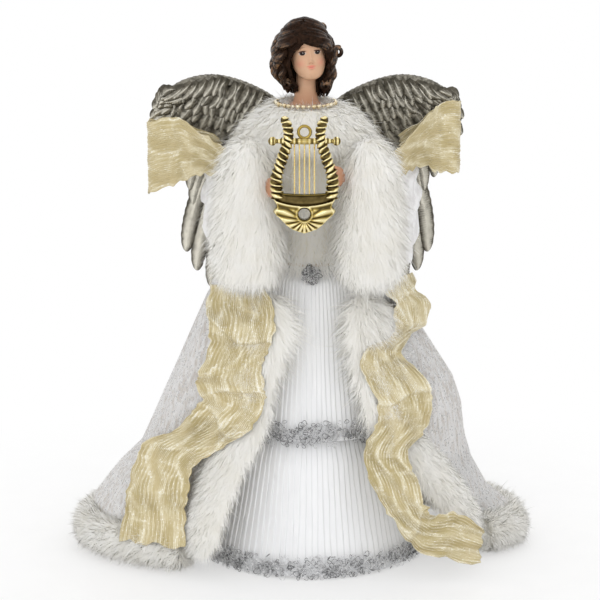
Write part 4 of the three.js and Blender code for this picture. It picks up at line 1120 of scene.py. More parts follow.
fur("bodice_pile", bodice_body, 24000, chest_length, chest_fall, 31, keep=chest_keep)

collar_body = backing("collar_backing", "fur_collar", "white_fur", collar_pile_seat)


def collar_inward(places, normals):
    return smooth_share((facing_out(places, normals) * -1 + 0.1) * 2)


def collar_fall(places, normals):
    outward = outward_of(places)
    over, into = down * 0.75 + outward * 0.5, down * -0.6 - outward * 0.8
    return mix(over, into, collar_inward(places, normals)[:, None])


def collar_length(places, normals):
    return collar_pile_length * mix(1.0, 0.55, collar_inward(places, normals))


def collar_keep(places, normals):
    return np.where(normals[:, 2] < -0.5, 0.1, 1)


fur("collar_pile", collar_body, 34000, collar_length, collar_fall, 32, keep=collar_keep)


def cuff_core(side, name):
    """A core that fills the cuff's roll: narrow above and wide below, as its pile hangs."""
    rows, sides = 40, 48
    turn = np.linspace(0.02, math.pi - 0.02, rows)[:, None]
    around = turns(sides)
    half_width = left_cuff_core_half_width if side < 0 else right_cuff_core_half_width
    shift = 0 if side < 0 else right_cuff_core_shift
    low = (1 - np.cos(turn)) / 2
    thick = np.sin(turn) ** mix(0.6, 0.3, low)
    points = np.stack(np.broadcast_arrays(
        side * (cuff_spread - shift) + np.cos(around) * half_width * thick * mix(0.62, 1, low),
        -cuff_core_forward + np.sin(around) * cuff_core_half_depth * thick,
        cuff_height + cuff_core_rise + np.cos(turn) * cuff_core_half_height,
    ), -1)
    made = mesh_object("cuff_backing_" + name, points[:, ::-1], tube_faces(rows, sides), plush)
    dress(made, "white_fur", "fur_cuff_" + name)
    return made


def cuff_fall(side):
    def fall(places, normals):
        return down * 0.85 + [side * 0.2, -0.05, 0] + normals * 0.2

    return fall


def cuff_keep(places, normals):
    return np.where(normals[:, 1] > 0.5, 0.3, 1)


def front_high(places):
    """The share to which each place is up beside the waist, where the bands' pile is longer and spreads."""
    reach = front_comb_height * np.where(places[:, 0] > 0, right_comb_share, 1)
    return smooth_share((places[:, 2] - coat_closed_height + reach) / reach)


def front_length(places, normals):
    return front_pile_length * mix(1.0, np.where(places[:, 0] > 0, 1.7, 2.1), front_high(places))


def front_fall(side):
    lean = 0.35 if side > 0 else 0.6

    def fall(places, normals):
        spread = normals * [1, 0, 0] * 0.7 - [side * lean, 0, 0]
        return (
            down * 0.75 + outward_of(places) * 0.3 + normals * 0.2 + front_high(places)[:, None] * spread
        )

    return fall


def front_keep(places, normals):
    return np.where(facing_out(places, normals) < -0.3, 0.1, 1)


for side, name in both_sides:
    fur("cuff_pile_" + name, cuff_core(side, name), 40000, cuff_pile_length, cuff_fall(side), 33 + side,
        keep=cuff_keep)
    band = backing("front_backing_" + name, "front_fur_" + name, "white_fur", front_pile_seat)
    fur("front_pile_" + name, band, 44000, front_length, front_fall(side), 36 + side, keep=front_keep)

hem_body = backing("hem_backing", "hem_fur", "white_fur", hem_pile_seat)


def hem_fall(places, normals):
    return normals * 0.6 + down * 0.35 + outward_of(places) * 0.3


def hem_keep(quarter):
    """The hem's pile is four pieces, one for each quarter of the way round."""
    def keep(places, normals):
        here = (places[:, 0] > 0) + 2 * (places[:, 1] > 0) == quarter
        return here * np.where(normals[:, 2] < -0.7, 0.2, 1.0)

    return keep


for quarter in range(4):
    fur(f"hem_pile_{quarter + 1}", hem_body, 26000, hem_pile_length, hem_fall, 41 + quarter, stand=0.7,
        width=hem_pile_width, keep=hem_keep(quarter))


# The collar's slope, and the beads along its inner edge
def collar_slope(angle):
    outward = np.array([math.cos(angle), math.sin(angle), 0])
    neck = np.array([upper_body_shift, -head_forward, 0])
    inner_height = collar_back_height - collar_thickness - collar_front_dip * (1 - outward[1]) / 2
    inner = outward * collar_neck_width + neck
    inner[2] = inner_height
    outer = outward * [collar_half_width - collar_thickness, collar_half_depth - collar_thickness, 0] + neck
    outer[2] = inner_height - collar_drop
    slope = outer - inner
    reach = (np.linalg.norm(slope) + collar_thickness) / 2
    return (inner + outer) / 2, unit(slope), reach


def ball(centre, radius):
    rings, sides = 10, 14
    height = np.linspace(-1, 1, rings)[:, None, None] * quarter_turn
    points = spokes(turns(sides)) * np.cos(height) - down * np.sin(height)
    points[0], points[-1] = points[0, :1], points[-1, :1]
    return centre + points * radius, tube_faces(rings, sides)


def necklace():
    random = np.random.default_rng(51)
    beads, thread = [], []
    for place in range(bead_count):
        turn = (place + 0.5) / bead_count * full_turn
        middle, slope, reach = collar_slope(turn)
        spot = middle - slope * (reach - bead_seat) - down * bead_rise * (1.4 - math.sin(turn)) / 2.4
        thread.append(spot)
        size = bead_radius * (1.0 if place % 3 else 0.7) * random.uniform(0.9, 1.04)
        beads.append(ball(spot, size))
    points, faces = gather(beads)
    dress(mesh_object("beads", points, faces, bead_gold), "gold_beads", "necklace")
    sides = 6
    rings = tube(np.array(thread), bead_radius * 0.1, sides, -down, wraps=True)
    faces = tube_faces(bead_count, sides, wraps=True)
    dress(mesh_object("bead_thread", rings, faces, bead_gold), "gold_beads")


necklace()


# The head, neck and shoulder plate, moulded in one and painted
# Rows of height share, width share, depth share and forward share
head_shares = [
    [0, 0.2, 0.2, 0.62], [0.03, 0.46, 0.42, 0.54], [0.1, 0.72, 0.64, 0.34], [0.22, 0.92, 0.84, 0.16],
    [0.4, 1.02, 0.96, 0.04], [0.6, 1, 1, 0], [0.76, 0.96, 0.98, 0], [0.88, 0.78, 0.8, 0],
    [0.96, 0.48, 0.5, 0], [1, 0.16, 0.16, 0],
]
yoke_shares = [[0, 1, 1], [0.38, 0.96, 0.95], [0.62, 0.8, 0.82], [0.82, 0.5, 0.62], [1, 0.2, 0.36]]
# The face's forms: the sides that each is on, its place across and up, how far it spreads across and up,
# and how far it stands out. Across and out are shares of the head's half width, up of its height
face_form_shares = [
    [(1,), 0, 0.444, 0.086, 0.0976, 0.086],
    [(1,), 0, 0.339, 0.098, 0.0366, 0.148],
    [(-1, 1), 0.133, 0.3195, 0.07, 0.0195, 0.047],
    [(-1, 1), 0.43, 0.485, 0.203, 0.0463, -0.094],
    [(-1, 1), 0.4375, 0.483, 0.133, 0.0244, 0.055],
    [(-1, 1), 0.406, 0.571, 0.25, 0.022, 0.031],
    [(-1, 1), 0.516, 0.307, 0.219, 0.0683, 0.0625],
    [(1,), 0, 0.249, 0.18, 0.0146, 0.07],
    [(1,), 0, 0.217, 0.148, 0.0159, 0.074],
    [(1,), 0, 0.234, 0.1875, 0.0063, -0.039],
    [(1,), 0, 0.1024, 0.25, 0.0537, 0.078],
    [(1,), 0, 0.171, 0.172, 0.017, -0.031],
    [(1,), 0, 0.29, 0.047, 0.017, -0.0195],
]


def turned_head(points):
    cos_turn, sin_turn = math.cos(head_turn), math.sin(head_turn)
    cos_tilt, sin_tilt = math.cos(head_tilt), math.sin(head_tilt)
    x = points[..., 0] * cos_turn - points[..., 1] * sin_turn
    y = points[..., 0] * sin_turn + points[..., 1] * cos_turn
    z = points[..., 2]
    return np.stack([x * cos_tilt - z * sin_tilt, y, x * sin_tilt + z * cos_tilt], -1) + head_pivot


def head_points():
    table = np.array(head_shares)
    rows, columns = 150, 200
    share = (1 - np.cos(np.linspace(0, 1, rows) * math.pi)) / 2
    fine = np.linspace(0, 1, 400)
    sizes = spline(table[:, :3], fine)
    nods = spline(table[:, [0, 3, 3]], fine)
    wide, deep = (np.interp(share, sizes[:, 0], sizes[:, column])[:, None] for column in (1, 2))
    ahead = np.interp(share, nods[:, 0], nods[:, 1])[:, None]
    turn = turns(columns) - quarter_turn
    turn = turn - 0.35 * np.sin(turn + quarter_turn)
    x = np.cos(turn) * wide * head_half_width
    y = (np.sin(turn) * deep - ahead) * head_half_depth
    z = np.broadcast_to(share[:, None] * head_height, x.shape)
    lift = np.zeros_like(x)
    for sides, across, up, spread_across, spread_up, out in face_form_shares:
        for side in sides:
            off_across = (x / head_half_width - side * across) / spread_across
            off_up = (z / head_height - up) / spread_up
            lift += out * head_half_width * np.exp(-(off_across**2) - off_up**2)
    front = smooth_share(-np.sin(turn) * 2.2)
    return turned_head(np.stack([x, y - lift * front, z], -1)), tube_faces(rows, columns)


def oval_rings(centres, wide, deep):
    """Level oval rings at the centres, with their half width and half depth."""
    sides = 64
    sizes = np.stack([wide, deep, np.zeros(len(wide))], -1)
    return centres[:, None] + spokes(turns(sides)) * sizes[:, None], tube_faces(len(wide), sides)


def bust():
    neck_top = chin_height + head_height * neck_top_share
    rows = 24
    share = np.linspace(0, 1, rows)
    neck = np.stack([
        np.full(rows, upper_body_shift), -head_forward / 2 * share, neck_top - neck_length * (1 - share)
    ], -1)
    radii = neck_radius * mix(neck_flare_share, 1, share) + neck_root_flare * np.exp(-share * 5)
    rows = 40
    rise, wide, deep = spline(np.array(yoke_shares), np.linspace(0, 1, rows)).T
    yoke = np.stack([
        upper_body_shift * rise, np.zeros(rows), cone_height + fit_gap + yoke_height * np.maximum(rise, 0)
    ], -1)
    points, faces = gather([
        head_points(),
        oval_rings(neck, radii, radii),
        oval_rings(yoke, yoke_half_width * wide, yoke_half_depth * deep),
    ])
    made = mesh_object("bust", points, faces, skin)
    dress(softened(made, skin, head_voxel, 0.5, 3), "painted_skin", "bust_head")


bust()


# The hair: a cap, and carved locks that run from the parting round the face and down the neck
# Rows of height share, and the width share of the left, the right and the depth
hair_shares = np.array([
    [0, 0.58, 0.68, 0.62], [0.13, 0.68, 0.68, 0.76], [0.26, 0.92, 0.8, 0.92], [0.4, 0.98, 0.8, 1.0],
    [0.54, 0.95, 0.82, 1.02], [0.68, 0.84, 0.7, 0.96], [0.81, 0.67, 0.56, 0.82], [0.92, 0.4, 0.34, 0.56],
    [1, 0.1, 0.1, 0.12],
])


def hair_at(turn, height, lift):
    """A place on the hair: turn is measured from the front, positive towards +X."""
    share = (height - hair_fall_height) / (hair_top_height - hair_fall_height)
    left, right, deep = (np.interp(share, hair_shares[:, 0], sizes) for sizes in hair_shares.T[1:])
    side = np.sin(turn)
    wide = np.where(side < 0, left, right) * hair_half_width + lift
    return np.stack([
        upper_body_shift + side * wide,
        -head_forward * 0.4 - np.cos(turn) * (deep * hair_half_depth + lift),
        height,
    ], -1)


# The loose curls beside the face: the turn as a share of a quarter turn, the height share, and the size and
# how far each stands out as shares of the hair's half width
ringlet_shares = [
    [0.98, 0.55, 0.171, 0.229], [1.05, 0.86, 0.106, 0.09], [-0.95, 0.36, 0.139, 0.049],
    [0.72, 0.12, 0.147, 0.033], [-0.66, 0.14, 0.155, 0.0245], [1.0, 0.3, 0.131, 0.049],
    [-0.98, 0.6, 0.122, 0.041],
]
lock_sides = 12


def lock(side, back, layer, first_phase, random):
    """A carved lock from the parting to its share of the way back, and how light its crests are."""
    steps = 56
    along = np.linspace(0, 1, steps)
    front_turn = 0.92 if side < 0 else 1.16
    start_turn = parting_turn + side * 0.1
    end_turn = side * mix(front_turn, 3.1, min(back, 1)) + random.normal() * 0.03
    start = mix(0.73, 0.985, smooth_share(back * 3)) - 0.03 * layer * (1 - back)
    end = mix(0.02, -0.06, back) + random.uniform(-0.03, 0.09) + (0.1 if side < 0 else 0) * (1 - back)
    turn = mix(start_turn, end_turn, smooth_share(along / mix(0.44, 0.3, back)))
    share = mix(start, end, along ** mix(1.8, 1.15, back))
    phase = first_phase + layer * 1.6 + random.uniform(0, 0.9)
    angle = along * random.uniform(2.8, 3.4) * full_turn + phase
    grow = smooth_share(along * 2.5)
    wave = np.sin(angle) * grow
    height = mix(hair_fall_height, hair_top_height, np.clip(share, -0.08, 0.985))
    lift = wave * lock_wave - lock_sink + layer * lock_layer_step
    line = hair_at(turn + np.cos(angle) * 0.11 * grow, height, lift)
    taper = np.minimum(1, 0.35 + along * 4) * np.sqrt(1 - (along * 0.985) ** 6)
    radius = lock_radius * random.uniform(0.75, 1.15) * taper
    ridge = random.uniform(0, full_turn)
    combs = turns(lock_sides) * 4 + ridge
    growth = 1 + 0.05 * np.cos(combs + np.arange(steps)[:, None] * 0.05)
    radii = np.stack([radius * 1.05, radius * 0.8], -1)
    rings = tube(line, radii, lock_sides, outward_of(line) + [0, 0, 0.05], growth=growth)
    crest = np.clip(wave, 0, 1)[:, None] * 0.55 + random.uniform(0, 0.35)
    return (rings, tube_faces(steps, lock_sides)), (crest + 0.2 * np.cos(combs)).ravel()


def ringlet(turn, share, size_share, stand_share):
    """A loose curl that winds inward, and how light it is along its length."""
    steps = 40
    along = np.linspace(0, 1, steps)
    size, stand = hair_half_width * size_share, hair_half_width * stand_share
    height = mix(hair_fall_height, hair_top_height, share)
    coil = along * full_turn * 1.6 + turn
    reach = size * mix(1, 0.35, along)
    line = hair_at(turn * quarter_turn, height, stand - size * 0.4) + np.stack([
        np.cos(coil) * reach * 0.9, -along * size * 0.6, np.sin(coil) * reach
    ], -1)
    radius = ringlet_radius * np.sqrt(1 - (along * 0.96) ** 4) * np.minimum(1, 0.4 + along * 4)
    rings = tube(line, radius, lock_sides, forward)
    return (rings, tube_faces(steps, lock_sides)), np.repeat(0.5 + 0.5 * np.sin(coil), lock_sides)


def hair():
    random = np.random.default_rng(61)
    backing("hair_cap", "hair", "painted_hair", hair_cap_seat, hair_cap_voxel, hair_coat)
    per_side = 24
    locks = []
    for layer in range(2):
        for side, _ in both_sides:
            for place in range(per_side):
                back = (place + 0.3 * layer) / (per_side - 1)
                locks.append(lock(side, back, layer, place * 0.35, random))
    locks += [ringlet(*row) for row in ringlet_shares]
    points, faces = gather([tubes for tubes, _ in locks])
    shades = np.concatenate([shade for _, shade in locks])
    dress(mesh_object("hair_locks", points, faces, hair_coat, shade=shades), "painted_hair")


hair()


# The hands
def hands():
    """Each hand holds the lyre's arm, and its wrist goes back into the cuff's pile."""
    for _, name in both_sides:
        made = linked("palm_" + name, nodes["hand_" + name].data.copy())
        softened(made, skin, hand_voxel, 0.6, 5, ("SUBSURF", {"levels": 1, "render_levels": 1}))
        for vertex in made.data.vertices:
            over = abs(vertex.co.x - lyre_centre) - wrist_reach
            if over > 0:
                kept = min(over, hand_reach - wrist_reach)
                vertex.co.x -= math.copysign(over - kept * 0.6, vertex.co.x - lyre_centre)
                vertex.co.y += kept * 1.3
        dress(made, "painted_skin", "hand_" + name)


hands()


def steps_along(grid, axis):
    """The length of each step between a grid's rows or columns."""
    return np.linalg.norm(np.diff(grid, axis=axis), axis=2)


def cloth_piece(name, grid, finish, thickness, places=None, shade=None, wraps=False, offset=0.0):
    """Cloth over a grid of points; its area is measured before it is given its thickness."""
    rows, columns = grid.shape[:2]
    if places is None:
        along = np.pad(np.cumsum(steps_along(grid, 0), 0), ((1, 0), (0, 0)))
        across = np.pad(np.cumsum(steps_along(grid, 1), 1), ((0, 0), (1, 0)))
        places = np.stack([across, along], -1)
    made = mesh_object(name, grid, [grid_faces(rows, columns, wraps=wraps)], finish, places, shade)
    area = area_of(made)
    applied(made, ("SOLIDIFY", {"thickness": thickness, "offset": offset}))
    return made, area


# The sleeves
# Rows of shares: the way out, forward and up, the turn of the width, the width, the height and the folds
sleeve_shares = [
    [0.45, 0.22, 0.75, 0.3, 0.55, 0.34, 0],
    [0.9, 0.34, 0, 0.5, 0.9, 0.9, 0.6],
    [0.9, 0.55, 0, 0.5, 1, 1, 1],
]


def sleeve_rows(side):
    """Rows down a sleeve: its middle, the way of its width, its half width and height, and its folds."""
    mouth = -cuff_forward + cuff_fur_radius * math.cos(math.pi / 8) + fit_gap
    rows = [[
        side * sleeve_root_spread, sleeve_back - sleeve_root_radius, sleeve_root_height, 0, 1,
        sleeve_root_radius, sleeve_root_radius, 0,
    ]]
    for out, ahead, up, turn, wide, high, folds in sleeve_shares:
        rows.append([
            side * mix(sleeve_root_spread, sleeve_spread, out), mix(sleeve_back, mouth, ahead),
            mix(cuff_height, sleeve_root_height, up), side * math.sin(turn * quarter_turn),
            math.cos(turn * quarter_turn), sleeve_half_width * wide, sleeve_half_height * high, folds,
        ])
    rows.append([side * cuff_spread, mouth, cuff_height, side, 0, cuff_half_width, cuff_half_height, 0])
    return np.array(rows)


def sleeve(side, name, seed):
    table = sleeve_rows(side)
    steps, sides, reach = 64, 144, 4
    share = np.linspace(0, 1, steps)[:, None]
    place = share[:, 0] * (len(table) - 1)
    values = np.stack([np.interp(place, np.arange(len(table)), column) for column in table.T], -1)
    padded = np.pad(values, ((reach, reach), (0, 0)), mode="edge")
    window = 2 * reach + 1
    even = np.ones(window) / window
    values = np.stack([np.convolve(column, even, "valid") for column in padded.T], -1)
    values[0], values[-1] = table[0], table[-1]
    angle = turns(sides)
    creases = wander(seed, 9, angle / full_turn, 5)
    crush = sum(
        np.sin(angle * (11 + 4 * wave) + share * (9 + 5 * wave) + creases[wave] * 3) for wave in range(4)
    )
    drape = angle * 5 + np.sin(share * 8 + creases[4]) * 1.2
    folds = values[:, 7:] * sleeve_fold_depth * (1 - 2 * np.abs(np.sin(drape)))
    ends = smooth_share(share * 6) * smooth_share((1 - share) * 10)
    grow = (folds + crush * velvet_crush * 1.2) * ends
    right = unit(np.pad(values[:, 3:5], ((0, 0), (0, 1))))[:, None]
    wide = np.cos(angle) * (values[:, 5:6] + grow)
    sink = 1 - (1 - sleeve_top_share) * smooth_share(share * 3) * np.clip(np.sin(angle), 0, 1) ** 0.5
    high = np.sin(angle) * sink * (values[:, 6:7] + grow)
    grid = values[:, None, :3] + right * wide[..., None] - down * high[..., None]
    made, area = cloth_piece("velvet_" + name, grid, velvet, velvet_cloth, wraps=True, offset=-side)
    dress(made, "velvet", "sleeve_" + name)


sleeve(-1, "left", 71)
sleeve(1, "right", 72)


# The front fur's path, which the coat's edge and the ribbon tails follow
# Rows of height share, degrees round from the front, and how far it stands off the skirt
front_fur_shares = {
    -1: [
        [0.08, 44.3, 0.16], [0.24, 43.5, 0.15], [0.42, 41, 0.04], [0.55, 34, 0], [0.78, 31, 0], [1, 31, 0],
    ],
    1: [
        [0.1, 70, 0.36], [0.26, 63, 0.24], [0.42, 51, 0.1], [0.55, 41, 0.01], [0.78, 37, 0], [1, 35, 0],
    ],
}


def front_fur_path(side):
    places = []
    for height_share, degrees, stand_share in front_fur_shares[side]:
        height = front_fur_top_height * height_share
        reach = trimmed_skirt_radius_at(height) + fit_gap + front_fur_half_depth
        reach += skirt_hem_radius * stand_share
        turn = math.radians(degrees)
        places.append([side * math.sin(turn) * reach, -math.cos(turn) * reach, height])
    return even_spline(places, 15)


def fur_side_rows(side):
    path = front_fur_path(side)
    across = unit(np.cross(along_of(path), path * [1, 1, 0]))
    away = across * np.sign(across[:, :1]) * side * (front_fur_half_width + fit_gap)
    edge = path + away
    return edge[:, [2, 0, 1]]


fur_edges = {side: fur_side_rows(side) for side, _ in both_sides}
band_rows = {side: front_fur_path(side)[:, [2, 0, 1]] for side, _ in both_sides}
bodice_shares = [[0, 0.84, 0.94], [0.3, 0.86, 0.92], [0.62, 1, 1], [0.86, 0.96, 0.86], [1, 0.92, 0.66]]
coat_top_share = (coat_top_height - waist_height) / (bodice_top_height - waist_height)
coat_top_half_width = bodice_half_width * lookup(bodice_shares, coat_top_share, 1) + seam_gap
coat_top_half_depth = bodice_half_depth * lookup(bodice_shares, coat_top_share, 2) + seam_gap
# Rows of height share of the coat's top, and share of the half size at its hem
coat_shares = {
    -1: [
        [0.12, 1], [0.17, 0.94], [0.22, 0.87], [0.27, 0.78], [0.5, 0.6], [0.71, 0.44], [0.86, 0.36],
        [1, coat_top_half_width / coat_half_width_left],
    ],
    1: [
        [0.1, 1], [0.15, 0.88], [0.24, 0.79], [0.38, 0.74], [0.46, 0.69], [0.61, 0.51], [0.71, 0.46],
        [0.86, 0.38], [1, coat_top_half_width / coat_half_width_right],
    ],
}
coat_back_shares = [
    [0.1, 1], [0.34, 0.78], [0.69, 0.545], [0.78, 0.49], [0.86, 0.41],
    [1, coat_top_half_depth / coat_half_depth_back],
]
coat_hem_height = hem_fur_lift + hem_fur_radius * 2 + fit_gap + coat_hem_gap


def coat_half_width_at(side, height):
    half_width = coat_half_width_left if side < 0 else coat_half_width_right
    return half_width * lookup(coat_shares[side], height / coat_top_height)


def coat_outline(height, count):
    back = coat_half_depth_back * lookup(coat_back_shares, height / coat_top_height)
    open_share = (height - coat_closed_height) / (coat_open_height - coat_closed_height)
    open_angle = math.asin((sleeve_back + seam_gap) / back)
    halves = []
    steps = 60
    for side, _ in both_sides:
        half_width = coat_half_width_at(side, height)
        edge_x = abs(lookup(fur_edges[side], height, 1))
        closed_angle = -math.acos(min(edge_x / half_width, 1))
        front = lookup(fur_edges[side], height, 2) / min(math.sin(closed_angle), -0.001)
        first = mix(closed_angle, open_angle, min(max(open_share, 0), 1))
        angle = mix(first, quarter_turn, np.linspace(0, 1, steps))
        depth = np.sin(angle) * np.where(angle < 0, front, back)
        halves.append(np.stack([side * np.cos(angle) * half_width, depth, np.full(steps, height)], -1))
    return evened(np.concatenate([halves[0], halves[1][::-1][1:]]), count)


def coat():
    rows, columns = 90, 300
    rise_share, share = np.linspace(0, 1, rows)[:, None], np.linspace(0, 1, columns)
    folds = wander(81, 3, share, 6)
    heights = mix(coat_hem_height, coat_top_height, rise_share[:, 0])
    grid = np.array([coat_outline(height, columns) for height in heights])
    drift = folds[0] * 0.5 + folds[1] * rise_share * 1.2
    fold = (np.sin(share * coat_fold_count * full_turn + drift) - 1) / 2
    fold = fold * coat_fold_depth * (1 - rise_share)
    ripple = coat_ripple * np.sin(share * 46 * full_turn + folds[2] * 6 + rise_share * 5)
    grid += unit(grid * [1, 1, 0]) * ((fold + ripple) * round_ends(share))[..., None]
    made, area = cloth_piece("net_coat", grid, net, coat_cloth)
    dress(made, "glitter_mesh", "coat")


coat()


# The crinkled ribbon. Its reliefs are over steps along it and places across it
def ridges_of(along, across, runs, drift):
    """Ridges along the ribbon, coarse and fine, that waver and fade."""
    warp = across + 0.012 * drift[3] * np.sin(across * 11)
    ridges = 0
    for place, (count, depth) in enumerate(((4, 0.6), (15, 0.5), (35, 0.8))):
        phase = drift[place] * 4 + place + 0.7 * np.sin(along * runs * (7 + place * 8))
        swell = 0.55 + 0.45 * np.sin(across * 13 + drift[place + 2] * 5 + along * runs * 9 + place)
        ridges = ridges + depth * swell * (1 - 2 * np.abs(np.sin(warp * count * math.pi + phase)))
    return ridges


def puckers_of(along, across, runs, random):
    """Short sharp creases across the ribbon."""
    puckers = 0
    for _ in range(int(9 * runs)):
        where, spot = random.uniform(0, 1, 2)
        slant = random.uniform(-0.5, 0.5)
        off_across = across - spot
        off_along = (along - where) * runs - slant * off_across
        pucker = np.exp(-((off_along / 0.022) ** 2) - (off_across / 0.13) ** 2)
        puckers = puckers + random.uniform(0.4, 1) * pucker
    return puckers


def laps_of(along, across, runs, laps):
    """Folds where the ribbon rises slowly and drops behind. Each is a place, a slant and a depth share."""
    lift = np.zeros((len(along), len(across)))
    for where, slant, depth in laps:
        behind = (along - where) * runs - slant * 1.6 * (across - 0.5)
        behind = behind + 0.07 * np.sin(across * 6 + where * 40) + 0.3 * (across - 0.5) ** 2
        lift += depth * np.exp(-np.clip(-behind, 0, None) / 0.14) * (1 - smooth_share(behind / 0.08 + 0.5))
    return lift


def crinkled(edge_pairs, seed, steps, laps=()):
    """A grid of ribbon between two edges, its places on the cloth, and how raised each point is."""
    random = np.random.default_rng(seed)
    columns = 141
    line_share = np.linspace(0, 1, steps)
    first, second = (spline(edge, line_share) for edge in np.array(edge_pairs).transpose(1, 0, 2))
    along, across = line_share[:, None], np.linspace(0, 1, columns)
    flat = first[:, None] + (second - first)[:, None] * across[:, None]
    middle = flat[:, columns // 2]
    outward = unit(np.cross(second - first, along_of(middle)))
    length = np.linalg.norm(np.diff(middle, axis=0), axis=1).sum()
    runs = length / ribbon_width
    ridges = ridges_of(along, across, runs, wander(seed, 6, line_share, 16)[..., None])
    puckers = puckers_of(along, across, runs, random)
    lap_lift = laps_of(along, across, runs, laps)
    lift = (ridges * 0.5 + puckers * 0.5) * ribbon_crease + lap_lift * ribbon_lap
    knots = np.linspace(0, 1, int(14 * runs))
    nicks = np.stack([np.interp(line_share, knots, random.normal(size=len(knots))) for _ in range(2)])
    edge = (wander(seed + 2, 2, line_share, 17) * 1.4 + nicks * 0.8)[..., None] * ribbon_crease
    pull = unit(second - first)[:, None] * (edge[0] * across**9 - edge[1] * (1 - across) ** 9)[..., None]
    knots = np.linspace(0, 1, 13)
    frayed = np.interp(across, knots, random.uniform(-1, 1, len(knots))) * ribbon_fray
    fray = along_of(middle)[:, None] * (along**60 * frayed)[..., None]
    grid = flat + outward[:, None] * lift[..., None] + pull + fray
    places = np.stack(np.broadcast_arrays(across * ribbon_width, along * length), -1)
    # The shade is paler on raised ridges, puckers and laps: it carries the ribbon's painted highlights and
    # painted shade.
    shade = np.clip(ridges * 0.5 + 0.4 + puckers * 0.25 + lap_lift * 0.35, 0, 1)
    return grid, places, shade, (ribbon_width, length)


cuff_roll = cuff_fur_radius * math.cos(math.pi / 8)
loop_seat = cuff_roll + fit_gap + loop_stand
cuff_rise_share = (loop_gather_height - cuff_height) / cuff_half_height
cuff_reach_at_gather = cuff_half_width * math.sqrt(1 - cuff_rise_share**2)
loop_gather_spread = cuff_spread + cuff_reach_at_gather + loop_seat * math.sqrt(0.5)
loop_gather_forward = cuff_forward - loop_seat * math.sqrt(0.5)
# Rows of reach share beyond the gather, share of the gather's way forward, and width share
loop_shares = [
    [-0.2, -1.2, 0.3], [-0.1, -1.1, 0.36], [0, -1, 0.4], [0.14, -0.82, 0.46], [0.34, -0.5, 0.56],
    [0.55, -0.24, 0.84], [0.7, -0.1, 0.95], [0.96, 0.04, 1], [1, 0.2, 1], [0.92, 0.34, 0.96],
    [0.7, 0.34, 0.8], [0.4, 0.3, 0.46], [0.1, 0.28, 0.34],
]


def ribbon_loop(side, name, seed):
    reach = left_loop_reach if side < 0 else right_loop_reach
    outer_height = left_loop_height if side < 0 else right_loop_height
    pairs = []
    for reach_share, depth_share, width_share in loop_shares:
        inward = max(reach_share, 0)
        middle = mix(loop_gather_height, outer_height, inward) + loop_arch * math.sin(inward * math.pi)
        x = side * mix(loop_gather_spread, reach, reach_share)
        half = ribbon_width * width_share / 2
        pairs.append([[x, loop_gather_forward * depth_share, middle + end * half] for end in (-side, side)])
    grid, places, shade, flat = crinkled(pairs, seed, 170)
    made, area = cloth_piece("lame_loop_" + name, grid, lame, ribbon_cloth, places, shade)
    dress(made, "crinkled_ribbon", "ribbon_loop_" + name)
    area = min(area, flat[0] * flat[1])


# Rows down each tail: the inner edge's reach share and height share, the outer edge's, and its swing
tail_shares = {
    -1: [
        [0.21, 1, 0.44, 0.956, 0], [0.17, 0.946, 0.46, 0.888, 0], [0.15, 0.868, 0.44, 0.829, 0.1],
        [0.18, 0.79, 0.45, 0.751, 0], [0.21, 0.732, 0.49, 0.673, 0.1], [0.2, 0.654, 0.5, 0.634, 0],
        [0.2, 0.615, 0.47, 0.585, 0], [0.24, 0.546, 0.52, 0.546, 0.1], [0.33, 0.478, 0.62, 0.459, 0],
        [0.44, 0.42, 0.73, 0.42, 0.1], [0.51, 0.371, 0.79, 0.332, 0], [0.54, 0.293, 0.82, 0.263, 0.1],
        [0.55, 0.215, 0.83, 0.185, 0], [0.54, 0.107, 0.85, 0.098, 0],
    ],
    1: [
        [0.35, 1, 0.49, 0.986, 0], [0.33, 0.976, 0.51, 0.937, 0.1], [0.38, 0.917, 0.58, 0.878, 0],
        [0.39, 0.849, 0.56, 0.81, 0], [0.38, 0.82, 0.47, 0.8, 0.1], [0.25, 0.79, 0.42, 0.761, 0.1],
        [0.23, 0.732, 0.5, 0.693, 0.1], [0.28, 0.644, 0.57, 0.595, 0], [0.31, 0.576, 0.57, 0.527, 0],
        [0.29, 0.527, 0.52, 0.488, 0.1], [0.24, 0.439, 0.44, 0.429, 0.3], [0.27, 0.361, 0.48, 0.371, 0.42],
        [0.32, 0.283, 0.52, 0.283, 0.63], [0.39, 0.205, 0.55, 0.244, 1.08],
        [0.49, 0.117, 0.58, 0.244, 0.76], [0.63, 0.088, 0.66, 0.254, 1.09],
        [0.78, 0.059, 0.8, 0.195, 1.12],
    ],
}
# Each lap: its place share down the tail, its slant share and its depth share
lap_shares = {
    -1: [[0.19, -0.25, 1], [0.42, 0.2, 0.8], [0.56, -0.3, 0.9], [0.7, 0.25, 0.5], [0.3, 0.15, 0.35]],
    1: [
        [0.09, 0.3, 0.9], [0.2, -0.3, 1], [0.34, 0.2, 0.4], [0.46, 0.15, 1], [0.63, -0.2, 0.5],
        [0.83, 0.3, 0.8],
    ],
}
loose_share = 0.5
beside_share = 1.5
tail_top_height = cuff_height - cuff_half_height - cuff_roll - fit_gap
tail_sweep = tail_lift * 2


